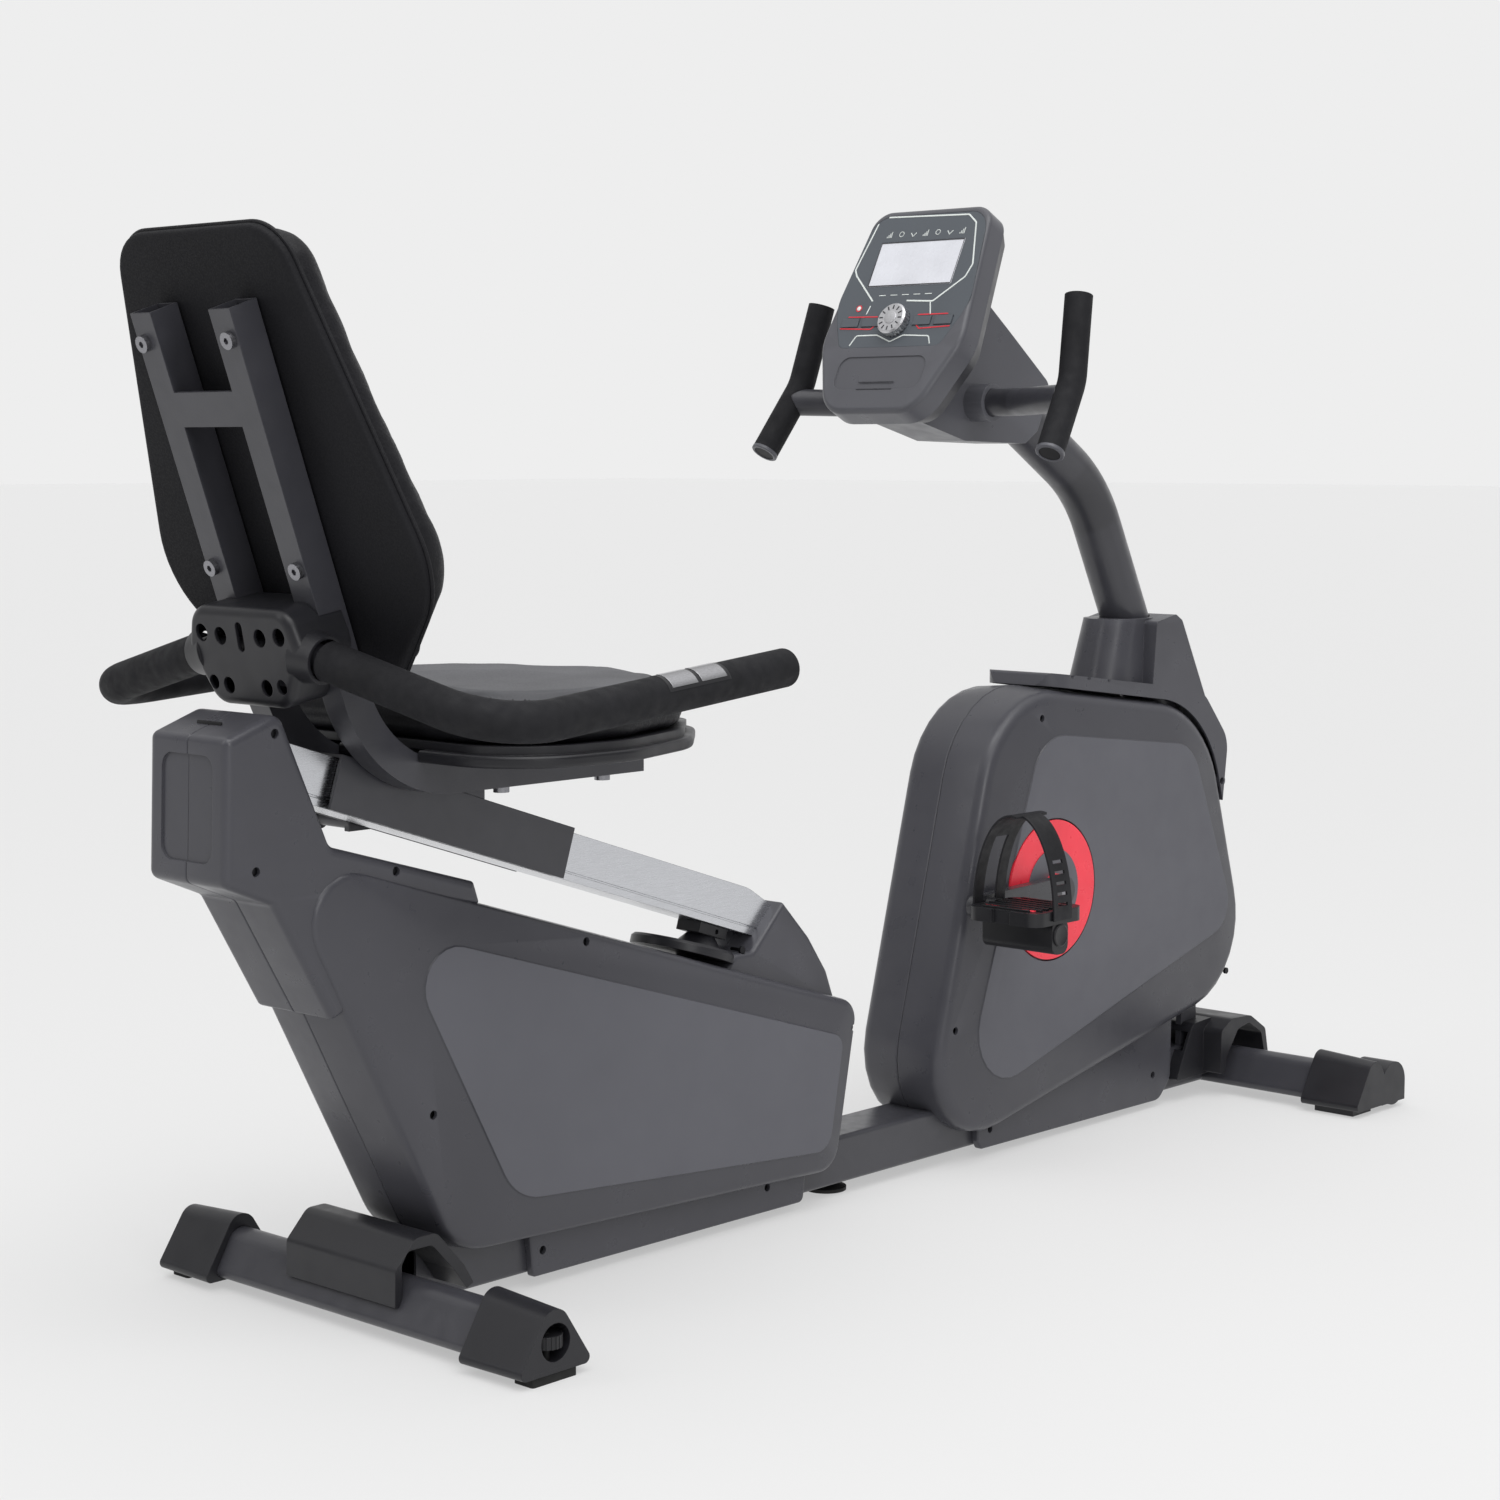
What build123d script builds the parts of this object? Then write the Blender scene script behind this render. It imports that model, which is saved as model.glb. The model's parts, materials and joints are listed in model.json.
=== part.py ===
"""Recumbent exercise bike.

World frame: +X forward (the way the rider faces), +Y left, +Z up, millimetres.
Origin: the floor, under the middle of the bike.
"""
import math
import os

from build123d import *

os.makedirs("parts", exist_ok=True)

# ------------------------------------------------------------------ driving dimensions
DATUM_X = -700.0          # where the rear stabilizer's rear edge line sits
FIT = 0.15                # gap between two fixed pieces that touch
RUN = 0.6                 # gap between a moving piece and its neighbour
SHAFT_FIT = 0.05          # radial gap of a shaft in its hole

RAIL_WIDTH = 70.0         # main rail
RAIL_BOTTOM = 15.0
RAIL_TOP = 70.0
RAIL_WALL = 3.0

STAB_LENGTH = 500.0       # stabilizer tubes, across the bike
STAB_REAR_X = 42.0        # centre line of the rear stabilizer
STAB_FRONT_X = 1486.0     # centre line of the front stabilizer
STAB_BASE = 74.0
STAB_FLOOR_GAP = 12.0
STAB_HEIGHT = 52.0
CAP_INNER_Y = 190.0
CAP_OUTER_Y = 272.0
PAD_HEIGHT = 8.0

COVER_HALF = 61.0         # half width of both housings at the edge
PANEL_RISE = 4.5          # how far the side panels stand proud
COVER_WALL = 3.0
CROWN = 5.0               # how far the seam stands proud of the edge
SCREW_HOLE = 9.0
SCREW_HEAD = 3.0          # depth of a cover screw's head
SCREW_SHANK = 4.0

SEAT_RAIL_TILT = 18.15    # the seat rail falls toward the front
SEAT_RAIL_LOW = 480.5     # lower face, measured square to the rail
SEAT_RAIL_HIGH = 529.3
SEAT_RAIL_WIDTH = 53.0
SEAT_RAIL_START = -300.0
SEAT_RAIL_END = 480.0
SLEEVE_START = -178.0
SLEEVE_END = 138.0
SLEEVE_WALL = 3.0
SLEEVE_WIDTH = 73.0

CRANK_X = 1070.0
CRANK_Z = 316.0
CRANK_LENGTH = 165.0
CRANK_DISC_RADIUS = 85.0
AXLE_DIA = 17.0
ARM_INNER_Y = 73.0
ARM_THICK = 13.0
PEDAL_PIN_DIA = 12.0
PEDAL_INNER_Y = 98.0
PEDAL_WIDTH = 102.0
PEDAL_LENGTH = 93.0
PULLEY_DIA = 190.0
PULLEY_Y = 47.0
BELT_WIDTH = 12.0

FLYWHEEL_X = 1325.0
FLYWHEEL_Z = 300.0
FLYWHEEL_DIA = 236.0
FLYWHEEL_WIDTH = 22.0
FLYWHEEL_PULLEY_DIA = 38.0
FLYWHEEL_SHAFT = 12.0

MAST_DIA = 60.0
MAST_WALL = 2.5
MAST_BEND = 190.0
MAST_PATH = [(1388.0, 478.0), (1217.6, 800.0), (1012.0, 923.5)]

FACE_X = 865.6            # a point on the console face
FACE_Z = 1027.3
FACE_TILT = 27.2          # the face leans back by this much
CONSOLE_FRONT = 30.0      # depth of the front shell
CONSOLE_BACK = 24.0       # depth of the back shell
GRIP_DIA = 32.0

BACK_LEAN = 19.11         # the backrest leans back by this much
BAR = 30.0                # seat frame tube, across
BAR_DEPTH = 32.0
BOARD_GAP = 32.2          # backrest tube face to board
BOARD_THICK = 12.0
BACK_CUSHION_THICK = 44.0

SEAT_LOW = 552.0
SEAT_LENGTH = 358.0
SEAT_WIDTH = 424.0
SEAT_MID_X = 236.0
SEAT_HEIGHT = 66.0

HANDLE_TUBE = 25.0
HANDLE_GRIP = 38.0

UPWARD = (Align.CENTER, Align.CENTER, Align.MIN)
DOWNWARD = (Align.CENTER, Align.CENTER, Align.MAX)


# ------------------------------------------------------------------ helpers
def side(points):
    """Points given from the rear datum, moved to the shared frame."""
    return [(x + DATUM_X, z) for x, z in points]


def rounded(points, radii):
    """A closed outline with its own radius at each corner."""
    with BuildSketch() as made:
        with BuildLine():
            Polyline(*points, close=True)
        make_face()
        for point, radius in zip(points, radii):
            if radius:
                fillet(made.vertices().sort_by_distance(point)[0], radius)
    return made.sketch


def grown(outline, amount):
    with BuildSketch() as made:
        add(outline)
        offset(amount=amount, kind=Kind.INTERSECTION, mode=Mode.REPLACE)
    return made.sketch


def bent_path(points, radius):
    """A wire through the points with its corners rounded."""
    pts = [Vector(*p) for p in points]
    with BuildLine() as made:
        start = pts[0]
        for before, corner, after in zip(pts, pts[1:], pts[2:]):
            inward = (before - corner).normalized()
            outward = (after - corner).normalized()
            half = math.radians(inward.get_angle(outward)) / 2
            reach = radius / math.tan(half)
            first = corner + inward * reach
            last = corner + outward * reach
            middle = (inward + outward).normalized()
            centre = corner + middle * (radius / math.sin(half))
            top = centre - middle * radius
            Line(start, first)
            ThreePointArc(first, top, last)
            start = last
        Line(start, pts[-1])
    return made.wires()[0]


def rail_point(along, up):
    """A point in the seat rail's own slanted directions, in the XZ plane."""
    tilt = math.radians(SEAT_RAIL_TILT)
    x = along * math.cos(tilt) + up * math.sin(tilt)
    z = -along * math.sin(tilt) + up * math.cos(tilt)
    return (x + DATUM_X, z)


def rail_box(start, end, low, high):
    return [rail_point(start, low), rail_point(end, low), rail_point(end, high), rail_point(start, high)]


def face_plane(depth):
    """The console face, moved toward the rider by depth."""
    tilt = math.radians(FACE_TILT)
    normal = Vector(-math.cos(tilt), 0, math.sin(tilt))
    origin = Vector(FACE_X + DATUM_X, 0, FACE_Z) + normal * depth
    return Plane(origin=origin, x_dir=(0, -1, 0), z_dir=normal)


def back_plane(depth):
    """The backrest tube's rear face, moved forward by depth."""
    lean = math.radians(BACK_LEAN)
    normal = Vector(math.cos(lean), 0, math.sin(lean))
    origin = Vector(-144.0 + DATUM_X, 0, 942.0) + normal * depth
    return Plane(origin=origin, x_dir=(0, 1, 0), z_dir=normal)


def whole(points):
    """The right half of an outline, top to bottom, made whole."""
    return points + [(-x, z) for x, z in reversed(points)]


# ------------------------------------------------------------------ shared outlines
stab_half = STAB_BASE / 2
stab_outline = rounded(
    [(-stab_half, STAB_FLOOR_GAP), (stab_half, STAB_FLOOR_GAP), (0, STAB_FLOOR_GAP + STAB_HEIGHT * 1.28)],
    [7, 7, 18],
)
cap_inner_outline = rounded([(-50, 8.5), (50, 8.5), (0, 89)], [6, 6, 18])
cap_outer_outline = rounded([(-48, 8.5), (48, 8.5), (0, 82)], [6, 6, 17])

drive_points = side([(972, 570), (1408, 514), (1521, 149), (824, 9)])
drive_outline = rounded(drive_points, [130, 150, 114, 95])
drive_seam = grown(drive_outline, CROWN)
drive_inner = grown(drive_outline, -COVER_WALL)
drive_panel = rounded(side([(1047, 507), (1368, 470), (1471, 232), (892, 67)]), [60, 60, 42, 62])

rear_points = side([(-107, 485), (714, 227), (678, 42), (108.5, 63.5)])
rear_outline = rounded(rear_points, [46, 22, 30, 68])
rear_seam = grown(rear_outline, CROWN)
rear_inner = grown(rear_outline, -COVER_WALL)
rear_panel = rounded(side([(31.5, 394.5), (684, 194), (660, 68), (186, 104)]), [38, 18, 25, 60])

tower_points = side([
    (-158, 455), (-153, 588), (-92, 610), (-35, 480), (143, 428),
    (150, 404), (20, 430), (0, 330), (-36, 316), (-103, 432),
])
tower_outline = rounded(tower_points, [10, 8, 14, 14, 3, 2, 0, 0, 5, 12])

strut_outline = rounded(
    side([
        (1396, 62), (1432, 62), (1428, 300), (1416, 452),
        (1376, 486), (1350, 470), (1398, 420), (1404, 300),
    ]),
    [0] * 8,
)
STRUT_Y = 26.0
STRUT_THICK = 8.0
POST_HALF = 18.0
slope = math.radians(SEAT_RAIL_TILT)
post_outline = rounded(
    [
        (126 + DATUM_X, RAIL_TOP + FIT), (176 + DATUM_X, RAIL_TOP + FIT),
        rail_point(-212, SEAT_RAIL_LOW - FIT), rail_point(-262, SEAT_RAIL_LOW - FIT),
    ],
    [0] * 4,
)
DISC_RADIUS = 57.0
disc_spot = side([(490, 306)])[0]
disc_plane = Plane(
    origin=(disc_spot[0], 0, disc_spot[1]),
    x_dir=(math.cos(slope), 0, -math.sin(slope)),
    z_dir=(math.sin(slope), 0, math.cos(slope)),
)


def strut_slots():
    """Cuts room for the two struts that carry the mast."""
    for y_far in (-STRUT_Y - STRUT_THICK - FIT, STRUT_Y - FIT):
        with BuildSketch(Plane.XZ.offset(y_far)) as slots:
            add(grown(strut_outline, FIT))
        extrude(slots.sketch, amount=STRUT_THICK + 2 * FIT, mode=Mode.SUBTRACT)


def post_slot():
    """Cuts room for the rear post on the right-hand side."""
    with BuildSketch(Plane.XZ.offset(-POST_HALF - FIT)) as slot:
        add(grown(post_outline, FIT))
    extrude(slot.sketch, amount=2 * POST_HALF + 2 * FIT, mode=Mode.SUBTRACT)


# ------------------------------------------------------------------ base frame
main_rail_start = STAB_REAR_X + stab_half + 1 + DATUM_X
main_rail_end = STAB_FRONT_X - stab_half - 1 + DATUM_X
main_rail_mid = (main_rail_start + main_rail_end) / 2
main_rail_length = main_rail_end - main_rail_start
rail_mid_z = (RAIL_BOTTOM + RAIL_TOP) / 2
rail_height = RAIL_TOP - RAIL_BOTTOM
MID_FOOT_X = 728.0
MID_FOOT_STEM = 10.0

with BuildPart() as main_rail:
    with Locations((main_rail_mid, 0, rail_mid_z)):
        Box(main_rail_length, RAIL_WIDTH, rail_height)
    fillet(main_rail.edges().filter_by(Axis.X), 5)
    with Locations((main_rail_mid, 0, rail_mid_z)):
        Box(
            main_rail_length + 2,
            RAIL_WIDTH - 2 * RAIL_WALL,
            rail_height - 2 * RAIL_WALL,
            mode=Mode.SUBTRACT,
        )
    with Locations((MID_FOOT_X + DATUM_X, 0, RAIL_BOTTOM)):
        Cylinder(13, 10, align=UPWARD)
        Cylinder(MID_FOOT_STEM / 2 + SHAFT_FIT, 30, mode=Mode.SUBTRACT)
main_rail.part.label = "main_rail"
export_step(main_rail.part, "parts/main_rail.step")


def stabilizer(x_mid):
    with BuildSketch(Plane.XZ.offset(-STAB_LENGTH / 2)) as section:
        with Locations((x_mid + DATUM_X, 0)):
            add(stab_outline)
            add(grown(stab_outline, -2.5), mode=Mode.SUBTRACT)
    extrude(section.sketch, amount=STAB_LENGTH)


with BuildPart() as rear_stabilizer:
    stabilizer(STAB_REAR_X)
rear_stabilizer.part.label = "rear_stabilizer"
export_step(rear_stabilizer.part, "parts/rear_stabilizer.step")


# end caps: the rear ones hold a thumbwheel and a levelling pad, the front ones a wheel
WHEEL_Y = 258.0           # thumbwheel axis
WHEEL_RADIUS = 17.0
WHEEL_THICK = 13.0
WHEEL_Z = 37.0
STEM_DIA = 8.0
ROLLER_X = STAB_FRONT_X + 46.0
ROLLER_Z = 33.0
ROLLER_RADIUS = 22.0
ROLLER_WIDTH = 26.0
ROLLER_Y = 246.0
PIN_DIA = 8.0

with BuildPart() as front_stabilizer:
    stabilizer(STAB_FRONT_X)
    for y in (-ROLLER_Y, ROLLER_Y):
        with Locations((ROLLER_X + DATUM_X, y, ROLLER_Z)):
            Cylinder(ROLLER_RADIUS + 1.5, ROLLER_WIDTH + 3, rotation=(90, 0, 0), mode=Mode.SUBTRACT)
front_stabilizer.part.label = "front_stabilizer"
export_step(front_stabilizer.part, "parts/front_stabilizer.step")


def cap_body(x_mid):
    """Right-hand cap, hollow where the stabilizer tube slides in."""
    with BuildSketch(Plane.XZ.offset(CAP_INNER_Y)) as inner:
        with Locations((x_mid + DATUM_X, 0)):
            add(cap_inner_outline)
    with BuildSketch(Plane.XZ.offset(CAP_OUTER_Y)) as outer:
        with Locations((x_mid + DATUM_X, 0)):
            add(cap_outer_outline)
    loft([inner.sketch, outer.sketch], ruled=True)


def cap_socket(x_mid):
    with BuildSketch(Plane.XZ.offset(CAP_INNER_Y - 1)) as socket:
        with Locations((x_mid + DATUM_X, 0)):
            add(grown(stab_outline, FIT))
    extrude(socket.sketch, amount=STAB_LENGTH / 2 - CAP_INNER_Y + 1 + FIT, mode=Mode.SUBTRACT)


rear_x = STAB_REAR_X + DATUM_X
with BuildPart() as rear_cap_right:
    cap_body(STAB_REAR_X)
    cap_socket(STAB_REAR_X)
    with Locations((rear_x, -CAP_OUTER_Y, WHEEL_Z)):
        Cylinder(
            WHEEL_RADIUS + 1,
            2 * (CAP_OUTER_Y - STAB_LENGTH / 2 - 3),
            rotation=(90, 0, 0),
            mode=Mode.SUBTRACT,
        )
    with Locations((rear_x, -WHEEL_Y, WHEEL_Z)):
        Cylinder(WHEEL_RADIUS + 1, WHEEL_THICK + 2, mode=Mode.SUBTRACT)
    with Locations((rear_x, -WHEEL_Y, 0)):
        Cylinder(STEM_DIA / 2 + SHAFT_FIT, 44, align=UPWARD, mode=Mode.SUBTRACT)
    with Locations((rear_x, -WHEEL_Y, 5.5)):
        Box(56 + 2 * RUN, 26 + 2 * RUN, 14, mode=Mode.SUBTRACT)
rear_cap_right.part.label = "rear_cap_right"
export_step(rear_cap_right.part, "parts/rear_cap_right.step")

with BuildPart() as rear_cap_left:
    mirror(rear_cap_right.part, about=Plane.XZ)
rear_cap_left.part.label = "rear_cap_left"
export_step(rear_cap_left.part, "parts/rear_cap_left.step")


def thumbwheel():
    """Ribbed wheel on the vertical screw of a rear cap."""
    with Locations((rear_x, -WHEEL_Y, WHEEL_Z)):
        Cylinder(WHEEL_RADIUS - 1.6, WHEEL_THICK - 1)
        Cylinder(STEM_DIA / 2, WHEEL_THICK - 1, mode=Mode.SUBTRACT)
        with PolarLocations(WHEEL_RADIUS - 2.4, 20):
            Box(3.2, 2.4, WHEEL_THICK - 1)
    with Locations((rear_x, -WHEEL_Y, WHEEL_Z)):
        Cylinder(STEM_DIA / 2 + 0.3, WHEEL_THICK - 1)


with BuildPart() as thumbwheel_right:
    thumbwheel()
    with Locations((rear_x, -WHEEL_Y, WHEEL_Z)):
        Cylinder(STEM_DIA / 2 + SHAFT_FIT, WHEEL_THICK + 2, mode=Mode.SUBTRACT)
thumbwheel_right.part.label = "thumbwheel_right"
export_step(thumbwheel_right.part, "parts/thumbwheel_right.step")

with BuildPart() as thumbwheel_left:
    mirror(thumbwheel_right.part, about=Plane.XZ)
thumbwheel_left.part.label = "thumbwheel_left"
export_step(thumbwheel_left.part, "parts/thumbwheel_left.step")

with BuildPart() as foot_pad_right:
    with Locations((rear_x, -WHEEL_Y, 0)):
        Box(56, 26, PAD_HEIGHT, align=UPWARD)
    fillet(foot_pad_right.edges().filter_by(Axis.Z), 3)
    with Locations((rear_x, -WHEEL_Y, PAD_HEIGHT)):
        Cylinder(STEM_DIA / 2, WHEEL_Z + WHEEL_THICK / 2 - PAD_HEIGHT, align=UPWARD)
foot_pad_right.part.label = "foot_pad_right"
export_step(foot_pad_right.part, "parts/foot_pad_right.step")

with BuildPart() as foot_pad_left:
    mirror(foot_pad_right.part, about=Plane.XZ)
foot_pad_left.part.label = "foot_pad_left"
export_step(foot_pad_left.part, "parts/foot_pad_left.step")

roller_x = ROLLER_X + DATUM_X
front_x = STAB_FRONT_X + DATUM_X
with BuildPart() as front_cap_half:
    cap_body(STAB_FRONT_X)
    with Locations((roller_x, -(CAP_OUTER_Y + ROLLER_Y - 20) / 2, ROLLER_Z)):
        Cylinder(ROLLER_RADIUS + 6, CAP_OUTER_Y - ROLLER_Y + 20, rotation=(90, 0, 0))
    with Locations((roller_x, -(CAP_OUTER_Y + ROLLER_Y - 20) / 2, ROLLER_Z / 2 + 4)):
        Box(2 * ROLLER_RADIUS + 12, CAP_OUTER_Y - ROLLER_Y + 20, ROLLER_Z - 8)
    cap_socket(STAB_FRONT_X)
    with Locations((roller_x, -ROLLER_Y, ROLLER_Z)):
        Cylinder(ROLLER_RADIUS + 2, ROLLER_WIDTH + 2, rotation=(90, 0, 0), mode=Mode.SUBTRACT)
        Cylinder(PIN_DIA / 2, ROLLER_WIDTH + 20, rotation=(90, 0, 0))
    with Locations((roller_x, -ROLLER_Y, 8)):
        Box(2 * ROLLER_RADIUS, ROLLER_WIDTH + 2, 30, mode=Mode.SUBTRACT)
    with Locations((roller_x, -ROLLER_Y, ROLLER_Z)):
        Cylinder(PIN_DIA / 2, ROLLER_WIDTH + 10, rotation=(90, 0, 0))
    with Locations((front_x - 10, -(CAP_INNER_Y + CAP_OUTER_Y) / 2, 0)):
        Box(44, 56, 9.5, align=UPWARD)

with BuildPart() as front_caps:
    add(front_cap_half.part)
    mirror(front_cap_half.part, about=Plane.XZ)
front_caps.part.label = "front_caps"
export_step(front_caps.part, "parts/front_caps.step")

with BuildPart() as transport_wheels:
    with Locations((roller_x, -ROLLER_Y, ROLLER_Z), (roller_x, ROLLER_Y, ROLLER_Z)):
        Cylinder(ROLLER_RADIUS, ROLLER_WIDTH, rotation=(90, 0, 0))
        Cylinder(PIN_DIA / 2 + SHAFT_FIT, ROLLER_WIDTH + 2, rotation=(90, 0, 0), mode=Mode.SUBTRACT)
transport_wheels.part.label = "transport_wheels"
export_step(transport_wheels.part, "parts/transport_wheels.step")

with BuildPart() as mid_foot:
    with Locations((MID_FOOT_X + DATUM_X, 0, 0.5)):
        Cylinder(24, 4, align=UPWARD)
        Cone(22, 13, 5, align=UPWARD)
    with Locations((MID_FOOT_X + DATUM_X, 0, 4.5)):
        Cone(23, 10, 4, align=UPWARD)
        Cylinder(MID_FOOT_STEM / 2, 38, align=UPWARD)
mid_foot.part.label = "mid_foot"
export_step(mid_foot.part, "parts/mid_foot.step")

# saddle covers over the two stabilizers
rear_saddle = rounded(
    side([
        (13, 36), (14, 72), (40, 99), (66, 99), (101, 60), (113, 40),
        (104, 36), (88, 58), (60, 88), (30, 88), (22, 76), (22, 36),
    ]),
    [1, 8, 14, 14, 5, 1, 1, 4, 10, 8, 4, 1],
)
with BuildPart() as rear_bracket_cover:
    with BuildSketch(Plane.XZ.offset(-82)):
        add(rear_saddle)
    extrude(amount=164)
    with BuildSketch(Plane.XZ.offset(-90)):
        with Locations((STAB_REAR_X + DATUM_X, 0)):
            add(grown(stab_outline, FIT))
    extrude(amount=180, mode=Mode.SUBTRACT)
    with Locations((150 + DATUM_X, 0, RAIL_TOP / 2)):
        Box(200, RAIL_WIDTH + 2 * FIT, RAIL_TOP + 2 * FIT, mode=Mode.SUBTRACT)
rear_bracket_cover.part.label = "rear_bracket_cover"
export_step(rear_bracket_cover.part, "parts/rear_bracket_cover.step")

front_saddle = rounded(
    side([
        (1423, 34), (1423, 90), (1448, 104), (1492, 102), (1528, 80), (1538, 36),
        (1530, 36), (1518, 76), (1488, 93), (1462, 88), (1436, 54), (1432, 34),
    ]),
    [1, 10, 12, 14, 10, 1, 1, 8, 10, 8, 5, 1],
)
with BuildPart() as front_bracket_cover:
    with BuildSketch(Plane.XZ.offset(-80)):
        add(front_saddle)
    extrude(amount=160)
    with BuildSketch(Plane.XZ.offset(-52)):
        add(rounded(side([(1362, 30), (1398, 100), (1440, 103), (1440, 30)]), [3, 12, 0, 0]))
    extrude(amount=104)
    with Locations(((1380 + 1423) / 2 + DATUM_X, 0, 30)):
        Box(120, RAIL_WIDTH + 2 * FIT, 2 * (RAIL_TOP + FIT - 30), mode=Mode.SUBTRACT)
    with Locations((1402 + DATUM_X, 0, 60)):
        Box(42, 104 - 8, 60, mode=Mode.SUBTRACT)
    strut_slots()
front_bracket_cover.part.label = "front_bracket_cover"
export_step(front_bracket_cover.part, "parts/front_bracket_cover.step")

# ------------------------------------------------------------------ screw places
rear_screws = side([(81, 208), (705, 200), (288, 351), (547, 306)])
rear_skirt_screws = side([(241, 38), (580, 38)])
drive_screws = side([(1050, 525), (888, 169), (1468, 162)])
top_screws = side([(1449, 416)])
drive_skirt_screws = side([(979, 33), (1320, 44)])
tower_screws = side([(-99, 590), (-123, 466), (42, 449)])
SKIRT_Y = 44.0


def screw_seats(points, face, boss=True):
    """Bosses and counterbored holes on a right-hand cover."""
    for x, z in points:
        if boss:
            with Locations((x, -(face - 7), z)):
                Cylinder(7, 14, rotation=(90, 0, 0))
    for x, z in points:
        with Locations((x, -face, z)):
            Cylinder(SCREW_HOLE / 2, 14, rotation=(90, 0, 0), mode=Mode.SUBTRACT)
            Cylinder(SCREW_SHANK / 2 + SHAFT_FIT, 60, rotation=(90, 0, 0), mode=Mode.SUBTRACT)


# ------------------------------------------------------------------ rear housing
fin = rounded(
    side([(609, 352), (652, 308), (682, 266), (697, 228), (660, 205), (490, 260), (530, 303), (560, 303)]),
    [2, 20, 20, 2, 0, 0, 12, 10],
)
with BuildPart() as rear_cover_right:
    with BuildSketch(Plane.XZ):
        add(rear_seam)
    with BuildSketch(Plane.XZ.offset(COVER_HALF)):
        add(rear_outline)
    loft(ruled=True)
    with BuildSketch(Plane.XZ.offset(COVER_HALF)):
        add(rear_outline)
    with BuildSketch(Plane.XZ.offset(COVER_HALF + PANEL_RISE)):
        add(rear_panel)
    loft(ruled=True)
    with BuildSketch(Plane.XZ):
        add(fin)
    extrude(amount=42)
    with BuildSketch(Plane.XZ):
        add(rear_inner)
    extrude(amount=COVER_HALF - COVER_WALL, mode=Mode.SUBTRACT)
    with BuildSketch(Plane.XZ):
        add(grown(rear_panel, -8))
    extrude(amount=COVER_HALF + PANEL_RISE - COVER_WALL, mode=Mode.SUBTRACT)
    with BuildSketch(Plane.XZ.offset(RAIL_WIDTH / 2 + FIT)):
        with BuildLine():
            Polyline(*side([(228, 12), (640, 10), (646, 60), (222, 66)]), close=True)
        make_face()
    extrude(amount=SKIRT_Y - RAIL_WIDTH / 2 - FIT)
    screw_seats([rear_screws[0], rear_screws[1]], COVER_HALF)
    screw_seats([rear_screws[2]], COVER_HALF)
    screw_seats([rear_screws[3]], 42, boss=False)
    screw_seats(rear_skirt_screws, SKIRT_Y, boss=False)
    with Locations((380 + DATUM_X, 0, RAIL_TOP / 2)):
        Box(900, RAIL_WIDTH + 2 * FIT, RAIL_TOP + 2 * FIT, mode=Mode.SUBTRACT)
    with BuildSketch(Plane.XZ):
        with BuildLine():
            Polyline(
                *rail_box(SEAT_RAIL_START, SEAT_RAIL_END, SEAT_RAIL_LOW - FIT, SEAT_RAIL_HIGH + FIT),
                close=True,
            )
        make_face()
    extrude(amount=SEAT_RAIL_WIDTH / 2 + FIT, mode=Mode.SUBTRACT)
    with BuildSketch(disc_plane.offset(-FIT)):
        Circle(DISC_RADIUS + FIT)
    extrude(amount=60, mode=Mode.SUBTRACT)
    post_slot()
rear_cover_right.part.label = "rear_cover_right"
export_step(rear_cover_right.part, "parts/rear_cover_right.step")

with BuildPart() as rear_cover_left:
    mirror(rear_cover_right.part, about=Plane.XZ)
rear_cover_left.part.label = "rear_cover_left"
export_step(rear_cover_left.part, "parts/rear_cover_left.step")

# ------------------------------------------------------------------ tower
TOWER_HALF = 58.0
rail_slot = rail_box(SEAT_RAIL_START, SEAT_RAIL_END, SEAT_RAIL_LOW - 1, SEAT_RAIL_HIGH + 1)
with BuildPart() as tower_cover_right:
    with BuildSketch(Plane.XZ):
        add(tower_outline)
    extrude(amount=TOWER_HALF)
    with BuildSketch(Plane.XZ):
        add(grown(tower_outline, -COVER_WALL))
    extrude(amount=TOWER_HALF - COVER_WALL, mode=Mode.SUBTRACT)
    with BuildSketch(Plane.XZ.offset(-1)):
        add(grown(rear_outline, CROWN + 1.5))
    extrude(amount=COVER_HALF + 2, mode=Mode.SUBTRACT)
    with BuildSketch(Plane.XZ):
        with BuildLine():
            Polyline(*rail_slot, close=True)
        make_face()
    extrude(amount=SEAT_RAIL_WIDTH / 2 + 0.5, mode=Mode.SUBTRACT)
    screw_seats(tower_screws, TOWER_HALF)
    with BuildSketch(Plane.XZ.offset(-1)):
        add(grown(rear_outline, CROWN + 1.5))
    extrude(amount=COVER_HALF + 2, mode=Mode.SUBTRACT)
    post_slot()
tower_cover_right.part.label = "tower_cover_right"
export_step(tower_cover_right.part, "parts/tower_cover_right.step")

with BuildPart() as tower_cover_left:
    mirror(tower_cover_right.part, about=Plane.XZ)
tower_cover_left.part.label = "tower_cover_left"
export_step(tower_cover_left.part, "parts/tower_cover_left.step")

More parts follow.
